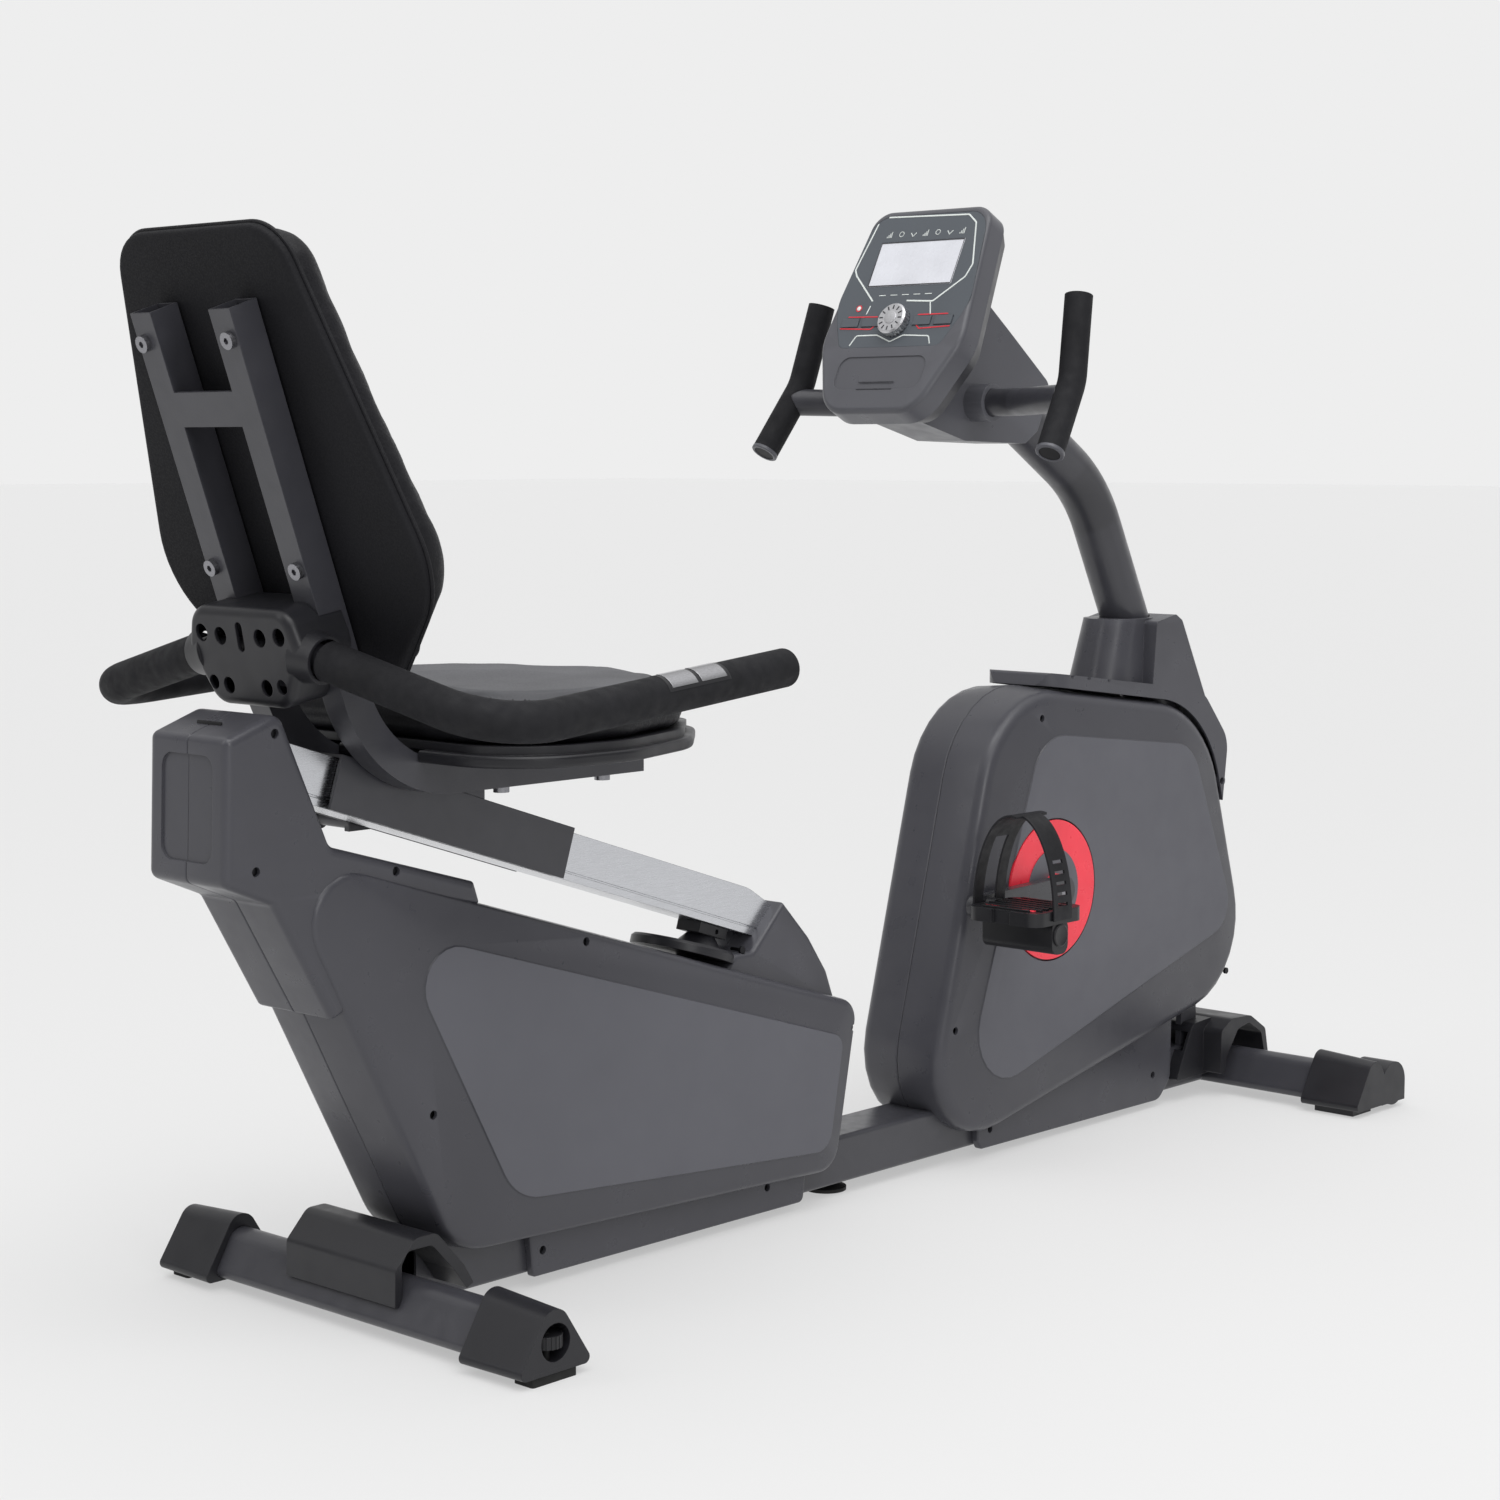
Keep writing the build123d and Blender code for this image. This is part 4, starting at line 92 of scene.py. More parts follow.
# ------------------------------------------------------------------ outlines
def rounded(corners, radii, inset=0.0, steps=8):
    """A polygon with its own radius at each corner, moved inward by inset."""
    pts = [Vector(p) for p in corners]
    count = len(pts)
    area = sum(pts[i].cross(pts[(i + 1) % count]) for i in range(count))
    turn = 1.0 if area > 0 else -1.0
    lines = []
    for i in range(count):
        run = (pts[(i + 1) % count] - pts[i]).normalized()
        inward = Vector((-run.y, run.x)) * turn
        lines.append((pts[i] + inward * inset, run))
    ring = []
    for i in range(count):
        (p, a), (q, b) = lines[i - 1], lines[i]
        bend = a.cross(b)
        corner = p + a * ((q - p).cross(b) / bend)
        convex = 1.0 if bend * turn > 0 else -1.0
        radius = max(radii[i] - inset * convex, 0.4)
        half = (math.pi - a.angle(b)) / 2
        start = corner - a * (radius / math.tan(half))
        end = corner + b * (radius / math.tan(half))
        centre = corner + (b - a).normalized() * (radius / math.sin(half))
        first, last = start - centre, end - centre
        sweep = math.pi - 2 * half
        for k in range(steps + 1):
            t = k / steps
            mixed = first * math.sin((1 - t) * sweep) + last * math.sin(t * sweep)
            ring.append(centre + mixed / math.sin(sweep))
    return ring


# ------------------------------------------------------------------ meshes
def add_piece(name, mesh, body, material, smooth=35.0):
    piece = bpy.data.objects.new(name, mesh)
    bpy.context.scene.collection.objects.link(piece)
    mesh.materials.clear()
    mesh.materials.append(material)
    if smooth:
        mesh.polygons.foreach_set("use_smooth", [True] * len(mesh.polygons))
        mesh.set_sharp_from_angle(angle=math.radians(smooth))
    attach(piece, body)
    return piece


def ring_mesh(name, rings, closed=True, caps=True):
    """A skin over rings of points with equal counts."""
    made = bmesh.new()
    rows = [[made.verts.new(p) for p in ring] for ring in rings]
    count = len(rows[0])
    last = count if closed else count - 1
    for low, high in zip(rows, rows[1:]):
        for i in range(last):
            j = (i + 1) % count
            made.faces.new((low[i], low[j], high[j], high[i]))
    if caps:
        made.faces.new(list(reversed(rows[0])))
        made.faces.new(rows[-1])
    bmesh.ops.recalc_face_normals(made, faces=made.faces)
    mesh = bpy.data.meshes.new(name)
    made.to_mesh(mesh)
    made.free()
    return mesh


def round_profile(points, radii, steps=5):
    """A polyline of 3-D points with rounded inner corners."""
    out = [points[0]]
    for k in range(1, len(points) - 1):
        before, corner, after = points[k - 1], points[k], points[k + 1]
        near = 0.45 if k > 1 else 0.98
        far = 0.45 if k < len(points) - 2 else 0.98
        reach = radii[k - 1] * MM
        start = corner + (before - corner).normalized() * min(reach, (corner - before).length * near)
        end = corner + (after - corner).normalized() * min(reach, (after - corner).length * far)
        for i in range(steps + 1):
            t = i / steps
            out.append(start * (1 - t) ** 2 + corner * 2 * t * (1 - t) + end * t * t)
    out.append(points[-1])
    return out


def stacked(name, stations, radii, steps=5):
    """A closed body over outline rings, its edges rounded between the stations."""
    columns = [round_profile(list(column), radii, steps) for column in zip(*stations)]
    return ring_mesh(name, list(zip(*columns)))


def turned(name, centre, axis, profile, sides=48):
    """A body of revolution: profile holds (distance along axis, radius), in mm."""
    axis = Vector(axis).normalized()
    side = axis.orthogonal().normalized()
    other = axis.cross(side)
    rings = [
        [
            centre + axis * along * MM + (side * math.cos(a) + other * math.sin(a)) * max(r, 0.01) * MM
            for a in (2 * math.pi * i / sides for i in range(sides))
        ]
        for along, r in profile
    ]
    return ring_mesh(name, rings)


def cut(piece, cutters):
    """Takes the cutter meshes away from a piece."""
    for mesh in cutters:
        tool = bpy.data.objects.new("cutter", mesh)
        bpy.context.scene.collection.objects.link(tool)
        step = piece.modifiers.new("cut", "BOOLEAN")
        step.operation = "DIFFERENCE"
        step.solver = "EXACT"
        step.object = tool
        bpy.context.view_layer.objects.active = piece
        with bpy.context.temp_override(object=piece, active_object=piece):
            bpy.ops.object.modifier_apply(modifier=step.name)
        bpy.data.objects.remove(tool)
    piece.data.polygons.foreach_set("use_smooth", [True] * len(piece.data.polygons))
    piece.data.set_sharp_from_angle(angle=math.radians(30))


def arc_path(points, radius, steps=6):
    """Points joined by straight runs with round corners."""
    pts = [Vector(p) for p in points]
    out = [pts[0]]
    for before, corner, after in zip(pts, pts[1:], pts[2:]):
        inward = (before - corner).normalized()
        outward = (after - corner).normalized()
        half = inward.angle(outward) / 2
        start = corner + inward * radius / math.tan(half)
        end = corner + outward * radius / math.tan(half)
        centre = corner + (inward + outward).normalized() * radius / math.sin(half)
        a, b = start - centre, end - centre
        sweep = math.pi - 2 * half
        for k in range(steps + 1):
            t = k / steps
            mixed = a * math.sin((1 - t) * sweep) + b * math.sin(t * sweep)
            out.append(centre + mixed / math.sin(sweep))
    out.append(pts[-1])
    return out


# ------------------------------------------------------------------ materials
class Shader:
    """Small helper that builds a node material on a Principled shader."""

    def __init__(self, name, colour, rough, metal=0.0, **sockets):
        self.material = bpy.data.materials.new(name)
        self.material.use_nodes = True
        self.nodes = self.material.node_tree.nodes
        self.links = self.material.node_tree.links
        self.bsdf = self.nodes["Principled BSDF"]
        self.bsdf.inputs["Base Color"].default_value = (*colour, 1)
        self.bsdf.inputs["Roughness"].default_value = rough
        self.bsdf.inputs["Metallic"].default_value = metal
        for key, value in sockets.items():
            self.bsdf.inputs[key.replace("_", " ")].default_value = value
        self.place = self.nodes.new("ShaderNodeTexCoord").outputs["Object"]

    def scaled(self, scale):
        node = self.nodes.new("ShaderNodeMapping")
        node.inputs["Scale"].default_value = scale
        self.links.new(self.place, node.inputs["Vector"])
        return node.outputs["Vector"]

    def noise(self, scale, detail=2.0, place=None):
        node = self.nodes.new("ShaderNodeTexNoise")
        node.inputs["Scale"].default_value = scale
        node.inputs["Detail"].default_value = detail
        self.links.new(place or self.place, node.inputs["Vector"])
        return node.outputs["Fac"]

    def cells(self, scale):
        node = self.nodes.new("ShaderNodeTexVoronoi")
        node.inputs["Scale"].default_value = scale
        self.links.new(self.place, node.inputs["Vector"])
        return node.outputs["Distance"]

    def ramp(self, value, low, high, a, b):
        node = self.nodes.new("ShaderNodeValToRGB")
        node.color_ramp.elements[0].position = low
        node.color_ramp.elements[1].position = high
        node.color_ramp.elements[0].color = (*a, 1)
        node.color_ramp.elements[1].color = (*b, 1)
        self.links.new(value, node.inputs["Fac"])
        return node.outputs["Color"]

    def span(self, value, low, high, to_low, to_high):
        node = self.nodes.new("ShaderNodeMapRange")
        limits = {"From Min": low, "From Max": high, "To Min": to_low, "To Max": to_high}
        for name, number in limits.items():
            node.inputs[name].default_value = number
        self.links.new(value, node.inputs["Value"])
        return node.outputs["Result"]

    def mix(self, a, b, factor, mode="MIX"):
        node = self.nodes.new("ShaderNodeMix")
        node.data_type = "RGBA"
        node.blend_type = mode
        for socket, value in ((node.inputs["Factor"], factor), (node.inputs[6], a), (node.inputs[7], b)):
            if isinstance(value, (int, float)):
                socket.default_value = value
            elif isinstance(value, tuple):
                socket.default_value = (*value, 1)
            else:
                self.links.new(value, socket)
        return node.outputs[2]

    def colour(self, output):
        self.links.new(output, self.bsdf.inputs["Base Color"])

    def rough(self, output):
        self.links.new(output, self.bsdf.inputs["Roughness"])

    def bump(self, height, strength, distance, edge=0.0):
        node = self.nodes.new("ShaderNodeBump")
        node.inputs["Strength"].default_value = strength
        node.inputs["Distance"].default_value = distance
        self.links.new(height, node.inputs["Height"])
        if edge:
            soft = self.nodes.new("ShaderNodeBevel")
            soft.samples = 4
            soft.inputs["Radius"].default_value = edge
            self.links.new(soft.outputs["Normal"], node.inputs["Normal"])
        self.links.new(node.outputs["Normal"], self.bsdf.inputs["Normal"])

    def painted_edge_highlight(self, base, lighter, amount):
        """Convex edges painted lighter, as a painted highlight where they would catch the light."""
        geo = self.nodes.new("ShaderNodeNewGeometry")
        # painted highlight: the colour is made lighter on convex edges
        edge_highlight = self.span(geo.outputs["Pointiness"], 0.51, 0.56, 0.0, amount)
        return self.mix(base, lighter, edge_highlight)


def times(colour, k):
    return tuple(min(c * k, 1.0) for c in colour)


def plastic(name, colour, rough=0.42, grain=900.0, strength=0.12, edge=0.0012, edge_highlight=0.15):
    """Moulded plastic: fine spark-eroded grain, faint cloudy colour, edges painted lighter as a painted
    highlight.
    """
    s = Shader(name, colour, rough, Specular_IOR_Level=0.42)
    cloud = s.noise(7.0, 3.0)
    tone = s.ramp(cloud, 0.3, 0.7, times(colour, 0.96), times(colour, 1.04))
    # painted highlight: edges made lighter in colour
    s.colour(s.painted_edge_highlight(tone, times(colour, 1.9), edge_highlight))
    grain_height = s.noise(grain, 2.0)
    s.rough(s.span(s.noise(40.0, 4.0), 0.3, 0.7, rough - 0.05, rough + 0.07))
    s.bump(grain_height, strength, 0.0004, edge)
    return s.material


def painted(name, colour, rough=0.38, peel=420.0):
    """Powder-coated steel: orange-peel surface and edges painted lighter as a painted highlight."""
    s = Shader(name, colour, rough, Coat_Weight=0.15, Coat_Roughness=0.3)
    tone = s.ramp(s.noise(12.0, 3.0), 0.3, 0.7, times(colour, 0.85), times(colour, 1.15))
    # painted highlight: edges made lighter in colour
    s.colour(s.painted_edge_highlight(tone, times(colour, 2.2), 0.3))
    s.rough(s.span(s.noise(60.0, 3.0), 0.3, 0.7, rough - 0.06, rough + 0.08))
    s.bump(s.cells(peel), 0.10, 0.0003, 0.001)
    return s.material


def metal(name, colour, rough=0.3, along=(1.0, 60.0, 60.0), strength=0.05, edge=0.0008):
    """Bare metal with fine lines along one direction."""
    s = Shader(name, colour, rough, 1.0)
    lines = s.noise(30.0, 6.0, s.scaled(along))
    s.colour(s.ramp(lines, 0.25, 0.75, times(colour, 0.85), times(colour, 1.08)))
    s.rough(s.span(lines, 0.2, 0.8, rough - 0.06, rough + 0.08))
    s.bump(lines, strength, 0.0002, edge)
    return s.material


def leather(name, colour, rough=0.45, grain=420.0, strength=0.35):
    """Vinyl with a pebbled grain, darker in the valleys and shinier on the crests."""
    s = Shader(name, colour, rough, Specular_IOR_Level=0.22)
    pebble = s.cells(grain)
    fine = s.noise(grain * 4.0, 3.0)
    height = s.mix(pebble, fine, 0.25)
    broad = s.ramp(s.noise(9.0, 3.0), 0.3, 0.7, times(colour, 0.85), times(colour, 1.2))
    s.colour(s.mix(broad, times(colour, 0.55), s.span(pebble, 0.0, 0.5, 0.35, 0.0)))
    s.rough(s.span(pebble, 0.0, 0.7, rough - 0.05, rough + 0.15))
    s.bump(height, strength, 0.0006)
    return s.material


def foam(name, colour):
    """Closed-cell foam grip: open pores and a dull surface."""
    s = Shader(name, colour, 0.72, Specular_IOR_Level=0.25)
    pores = s.cells(1500.0)
    s.colour(s.mix(s.ramp(s.noise(15.0), 0.3, 0.7, times(colour, 0.8), times(colour, 1.3)),
                   times(colour, 0.4), s.span(pores, 0.0, 0.25, 0.6, 0.0)))
    s.rough(s.span(s.noise(80.0, 3.0), 0.3, 0.7, 0.62, 0.82))
    s.bump(pores, 0.4, 0.0005)
    return s.material


def rubber(name, colour, rough=0.6):
    s = Shader(name, colour, rough, Specular_IOR_Level=0.25)
    # painted highlight: edges made lighter in colour
    s.colour(s.painted_edge_highlight(s.ramp(s.noise(25.0, 4.0), 0.3, 0.7, times(colour, 0.8), times(colour, 1.25)),
                          times(colour, 2.0), 0.3))
    s.rough(s.span(s.noise(120.0, 3.0), 0.3, 0.7, rough - 0.08, rough + 0.12))
    s.bump(s.noise(1400.0, 2.0), 0.15, 0.0003, 0.0008)
    return s.material


def gloss(name, colour, rough=0.2, **sockets):
    s = Shader(name, colour, rough, **sockets)
    s.colour(s.ramp(s.noise(18.0, 3.0), 0.3, 0.7, times(colour, 0.93), times(colour, 1.06)))
    s.rough(s.span(s.noise(90.0, 4.0), 0.3, 0.7, rough * 0.8, rough * 1.4))
    s.bump(s.noise(1600.0), 0.02, 0.0001, 0.0008)
    return s.material


COVER = (0.058, 0.058, 0.068)
looks = {
    "cover_plastic": plastic("cover_plastic", COVER, 0.31),
    "cover_panel": plastic("cover_panel", (0.104, 0.105, 0.122), 0.40, 1100.0, 0.10),
    "cap_plastic": plastic("cap_plastic", (0.014, 0.014, 0.017), 0.38),
    "wheel_plastic": plastic("wheel_plastic", (0.012, 0.012, 0.014), 0.4),
    "board_plastic": leather("board_vinyl", (0.008, 0.008, 0.010), 0.6, 500.0, 0.2),
    "console_plastic": plastic("console_plastic", (0.085, 0.086, 0.098), 0.32, 1100.0, 0.06),
    "console_dark": plastic("console_dark", (0.028, 0.028, 0.034), 0.38, 1100.0, 0.06),
    "faceplate": plastic("faceplate", (0.075, 0.085, 0.098), 0.42, 1500.0, 0.03),
    "pedal_plastic": plastic("pedal_plastic", (0.010, 0.010, 0.012), 0.34, 700.0, 0.15),
    "frame_black": painted("frame_black", (0.032, 0.032, 0.038), 0.34),
    "crank_steel": painted("crank_steel", (0.03, 0.03, 0.034), 0.3),
    "rail_aluminium": metal("rail_aluminium", (0.66, 0.67, 0.70), 0.24, (2.0, 70.0, 70.0), 0.03),
    "steel": metal("steel", (0.30, 0.30, 0.32), 0.3, (30.0, 30.0, 30.0)),
    "steel_dark": metal("steel_dark", (0.03, 0.03, 0.033), 0.35, (40.0, 40.0, 40.0)),
    "iron": metal("iron", (0.16, 0.16, 0.17), 0.42, (20.0, 20.0, 20.0)),
    "sensor_chrome": metal("sensor_chrome", (0.50, 0.50, 0.52), 0.16, (10.0, 50.0, 50.0), 0.02),
    "seat_cover": leather("seat_vinyl", (0.008, 0.008, 0.010), 0.40),
    "seat_top": leather("seat_top_vinyl", (0.105, 0.106, 0.114), 0.55, 480.0, 0.3),
    "foam": foam("grip_foam", (0.010, 0.010, 0.012)),
    "rubber_feet": rubber("rubber_feet", (0.012, 0.012, 0.012)),
    "strap_rubber": rubber("strap_rubber", (0.010, 0.010, 0.012), 0.45),
    "disc_red": gloss("disc_red", (0.95, 0.045, 0.075), 0.3),
    "lens": gloss("display_window", (0.70, 0.71, 0.76), 0.25, Coat_Weight=0.3, Coat_Roughness=0.12),
    "knob_silver": metal("knob_silver", (0.62, 0.62, 0.64), 0.32, (15.0, 15.0, 15.0), 0.04),
    "print_white": gloss("print_white", (0.74, 0.78, 0.76), 0.5),
    "print_red": gloss("print_red", (0.70, 0.03, 0.05), 0.5),
    # near-black painted into holes and slots as the shade inside them
    "hole_black": plastic("hole_black", (0.004, 0.004, 0.005), 0.6),
}

node_slot = {p["node"]: p["material_slot"] for p in frame["record"]["subparts"]}
for name, node in frame["nodes"].items():
    node.data.materials.clear()
    node.data.materials.append(looks[node_slot[name]])


# ------------------------------------------------------------------ housings
SCREW_POCKET = 4.5        # radius


def side_ring(ring, y):
    """An outline drawn on a side of the bike, as points in the frame."""
    return [at(p.x, y, p.y) for p in ring]


def screw_pocket(x, z, y_face, way, depth=7.0):
    """Cutter for the round pocket of one screw."""
    profile = [(-depth, SCREW_POCKET), (6.0, SCREW_POCKET)]
    return turned("pocket", at(x, way * y_face, z), (0, way, 0), profile, 20)


def housing(name, corners, radii, panel, panel_radii, way, edge_round, cutters):
    """One half of a two-part housing: seam groove, crowned wall, round edge and raised panel."""
    groove = side_ring(rounded(corners, radii, -CROWN + 1.2), way * 0.25)
    seam = side_ring(rounded(corners, radii, -CROWN), way * 1.3)
    rim = side_ring(rounded(corners, radii), way * COVER_HALF)
    lip = side_ring(rounded(panel, panel_radii, -1.0), way * (COVER_HALF + PANEL_RISE - 1.6))
    panel_edge = side_ring(rounded(panel, panel_radii), way * (COVER_HALF + PANEL_RISE))
    middle = side_ring(rounded(panel, panel_radii, 20.0), way * (COVER_HALF + PANEL_RISE))
    back_wall = side_ring(rounded(panel, panel_radii, 20.0), way * (COVER_HALF - WALL))
    back_rim = side_ring(rounded(corners, radii, edge_round + WALL), way * (COVER_HALF - WALL))
    back_bend = side_ring(rounded(corners, radii, WALL), way * (COVER_HALF - WALL - edge_round))
    back_seam = side_ring(rounded(corners, radii, WALL - CROWN), way * 0.25)
    mesh = stacked(
        name,
        [back_wall, back_rim, back_bend, back_seam, groove, seam, rim, lip, panel_edge, middle],
        [0.1, 0.1, 0.1, 0.1, 0.5, edge_round, 0.6, 0.6],
    )
    piece = add_piece(name, mesh, "frame", looks["cover_plastic"])
    cut(piece, cutters)
    piece.data.materials.append(looks["cover_panel"])
    flat = COVER_HALF + PANEL_RISE - 0.5
    for polygon in piece.data.polygons:
        if abs(polygon.center.y) > flat * MM and abs(polygon.normal.y) > 0.9:
            polygon.material_index = 1


def slab(name, outline, radii, way, reach, bevel, cutters):
    """A side plate: an outline pushed out to the side, with its outer edge rounded."""
    stations = [
        side_ring(rounded(outline, radii), way * reach[0]),
        side_ring(rounded(outline, radii), way * reach[1]),
        side_ring(rounded(outline, radii, bevel), way * reach[1]),
    ]
    mesh = stacked(name, stations, [bevel], 6)
    plate = add_piece(name, mesh, "frame", looks["cover_plastic"])
    cut(plate, cutters)


REAR = [(-107, 485), (714, 227), (678, 42), (108.5, 63.5)]
REAR_RADII = [46, 22, 30, 68]
REAR_PANEL = [(31.5, 394.5), (684, 194), (660, 68), (186, 104)]
REAR_PANEL_RADII = [38, 18, 25, 60]
DRIVE = [(972, 570), (1408, 514), (1521, 149), (824, 9)]
DRIVE_RADII = [130, 150, 114, 95]
DRIVE_PANEL = [(1047, 507), (1368, 470), (1471, 232), (892, 67)]
DRIVE_PANEL_RADII = [60, 60, 42, 62]
REAR_EDGE = 9.0
DRIVE_EDGE = 16.0
DISC_RECESS = 87.0
AXLE_HOLE = 30.0
REAR_SCREWS = [(81, 208), (705, 200), (288, 351)]
DRIVE_SCREWS = [(1050, 525), (888, 169), (1468, 162)]

FIN = [(609, 352), (652, 308), (682, 266), (697, 228), (660, 205), (490, 260), (530, 303), (560, 303)]
FIN_RADII = [2, 20, 20, 2, 0.5, 0.5, 12, 10]
FIN_Y = (0.3, 42.0)
REAR_SKIRT = [(228, 12), (640, 10), (646, 60), (222, 66)]
REAR_SKIRT_RADII = [4, 8, 3, 3]
DRIVE_SKIRT = [(955, 22), (962, 11), (1335, 9), (1360, 34), (1362, 122), (1000, 50), (955, 50)]
DRIVE_SKIRT_RADII = [3, 6, 22, 18, 3, 1, 1]

for way, side in ((-1, "right"), (1, "left")):
    pockets = [screw_pocket(x, z, COVER_HALF, way) for x, z in REAR_SCREWS]
    housing(f"rear_housing_{side}", REAR, REAR_RADII, REAR_PANEL, REAR_PANEL_RADII, way, REAR_EDGE, pockets)
    pockets = [screw_pocket(x, z, COVER_HALF, way) for x, z in DRIVE_SCREWS]
    hub = at(CRANK[0], way * COVER_HALF, CRANK[1])
    recess = turned("recess", hub, (0, way, 0), [(-1.5, DISC_RECESS), (12, DISC_RECESS)], 96)
    core = turned("core", hub, (0, way, 0), [(-15, AXLE_HOLE), (12, AXLE_HOLE)], 48)
    pockets += [recess, core]
    housing(
        f"drive_housing_{side}", DRIVE, DRIVE_RADII, DRIVE_PANEL, DRIVE_PANEL_RADII,
        way, DRIVE_EDGE, pockets,
    )
    pockets = [screw_pocket(547, 306, FIN_Y[1], way, 5.0)]
    slab(f"rear_fin_{side}", FIN, FIN_RADII, way, FIN_Y, 6.0, pockets)
    pockets = [screw_pocket(x, z, SKIRT_Y[1], way, 5.0) for x, z in ((241, 38), (580, 38))]
    slab(f"rear_skirt_{side}", REAR_SKIRT, REAR_SKIRT_RADII, way, SKIRT_Y, 2.5, pockets)
    pockets = [screw_pocket(x, z, SKIRT_Y[1], way, 5.0) for x, z in ((979, 33), (1320, 44))]
    slab(f"drive_skirt_{side}", DRIVE_SKIRT, DRIVE_SKIRT_RADII, way, SKIRT_Y, 2.5, pockets)

TOWER = [
    (-158, 455), (-153, 588), (-92, 610), (-35, 480), (143, 428),
    (150, 404), (20, 430), (0, 330), (-36, 316), (-103, 432),
]
TOWER_RADII = [10, 8, 14, 14, 3, 2, 1, 1, 5, 12]
TOWER_HALF = 58.0
TOWER_EDGE = 9.0
RECESS_DEPTH = 2.2
TOWER_SCREWS = [(-99, 590), (-123, 466), (42, 449)]


def tower_recess():
    """Shallow rounded recess across the tower's rear face."""
    ring = rounded([(-38, 474), (38, 474), (38, 572), (-38, 572)], [14, 14, 14, 14])
    (low_x, low_z), (high_x, high_z) = TOWER[:2]
    slope = (high_x - low_x) / (high_z - low_z)
    deep = [at(low_x + (p.y - low_z) * slope + RECESS_DEPTH, p.x, p.y) for p in ring]
    clear = [at(low_x - 17, p.x, p.y) for p in ring]
    return ring_mesh("recess", [deep, clear])


for way, side in ((-1, "right"), (1, "left")):
    groove = side_ring(rounded(TOWER, TOWER_RADII, 1.2), way * 0.25)
    seam = side_ring(rounded(TOWER, TOWER_RADII), way * 1.3)
    rim = side_ring(rounded(TOWER, TOWER_RADII), way * TOWER_HALF)
    flat = side_ring(rounded(TOWER, TOWER_RADII, TOWER_EDGE), way * TOWER_HALF)
    mesh = stacked(f"tower_{side}", [groove, seam, rim, flat], [0.5, TOWER_EDGE], 7)
    tower = add_piece(f"tower_{side}", mesh, "frame", looks["cover_plastic"])
    pockets = [screw_pocket(x, z, TOWER_HALF, way) for x, z in TOWER_SCREWS]
    cut(tower, pockets + [tower_recess()])


# ------------------------------------------------------------------ cushions
VOXEL = 0.0055            # metres
PRESSURE = 4.0
SWELL = 0.007             # furthest a point of a cushion may move, in metres
CLOTH_FRAMES = 20


def cushion_sim(piece):
    """Points of a closed form swollen by cloth pressure, each within SWELL of its start."""
    remesh = piece.modifiers.new("remesh", "REMESH")
    remesh.mode = "VOXEL"
    remesh.voxel_size = VOXEL
    bpy.context.view_layer.objects.active = piece
    with bpy.context.temp_override(object=piece, active_object=piece):
        bpy.ops.object.modifier_apply(modifier=remesh.name)
    start = np.array([v.co[:] for v in piece.data.vertices])
    cloth = piece.modifiers.new("cloth", "CLOTH")
    cloth.settings.use_pressure = True
    cloth.settings.uniform_pressure_force = PRESSURE
    cloth.settings.effector_weights.gravity = 0
    cloth.settings.quality = 5
    cloth.point_cache.frame_start = 1
    cloth.point_cache.frame_end = CLOTH_FRAMES
    for number in range(1, CLOTH_FRAMES + 1):
        bpy.context.scene.frame_set(number)
    shape = piece.evaluated_get(bpy.context.evaluated_depsgraph_get()).to_mesh()
    moved = np.array([v.co[:] for v in shape.vertices])
    piece.modifiers.remove(cloth)
    bpy.context.scene.frame_set(1)
    travel = moved - start
    length = np.linalg.norm(travel, axis=1, keepdims=True)
    start = start + travel * np.minimum(1.0, SWELL / np.maximum(length, 1e-9))
    return start


def to_outline(points, ring):
    """Distance from each 2-D point to a closed outline."""
    ring = np.array([p[:] for p in ring])
    best = np.full(len(points), 1e9)
    for a, b in zip(ring, np.roll(ring, -1, axis=0)):
        run = b - a
        t = np.clip(((points - a) @ run) / max(run @ run, 1e-12), 0, 1)
        best = np.minimum(best, np.linalg.norm(points - a - t[:, None] * run, axis=1))
    return best


def set_points(piece, points):
    piece.data.vertices.foreach_set("co", points.astype(np.float32).ravel())
    piece.data.update()


def subdivide(piece):
    step = piece.modifiers.new("subdivide", "SUBSURF")
    step.levels = 1
    step.render_levels = 1
    bpy.context.view_layer.objects.active = piece
    with bpy.context.temp_override(object=piece, active_object=piece):
        bpy.ops.object.modifier_apply(modifier=step.name)


def settle(points, mesh, rounds=3):
    """Averages each point with its neighbours, which fairs the stepped voxel surface."""
    edges = np.array([e.vertices[:] for e in mesh.edges])
    for _ in range(rounds):
        total = np.zeros_like(points)
        seen = np.zeros(len(points))
        for a, b in ((0, 1), (1, 0)):
            np.add.at(total, edges[:, a], points[edges[:, b]])
            np.add.at(seen, edges[:, a], 1)
        points = points * 0.5 + total / seen[:, None] * 0.5
    return points


SEAT = [(57, -207), (207, -216), (325, -176), (415, -94), (415, 94), (325, 176), (207, 216), (57, 207)]
SEAT_RADII = [92, 120, 120, 60, 60, 120, 120, 92]
SEAT_SEAM = 24.0          # how far in from the edge the welted seam runs
SEAT_MID = np.array([236.0, 0.0])
SEAT_HALF_LENGTH = 179.0
SEAT_HALF_WIDTH = 212.0
SEAT_TOP = 622.0


def plan_ring(ring, z):
    """An outline drawn in plan, as points in the frame."""
    return [at(p.x, p.y, z) for p in ring]


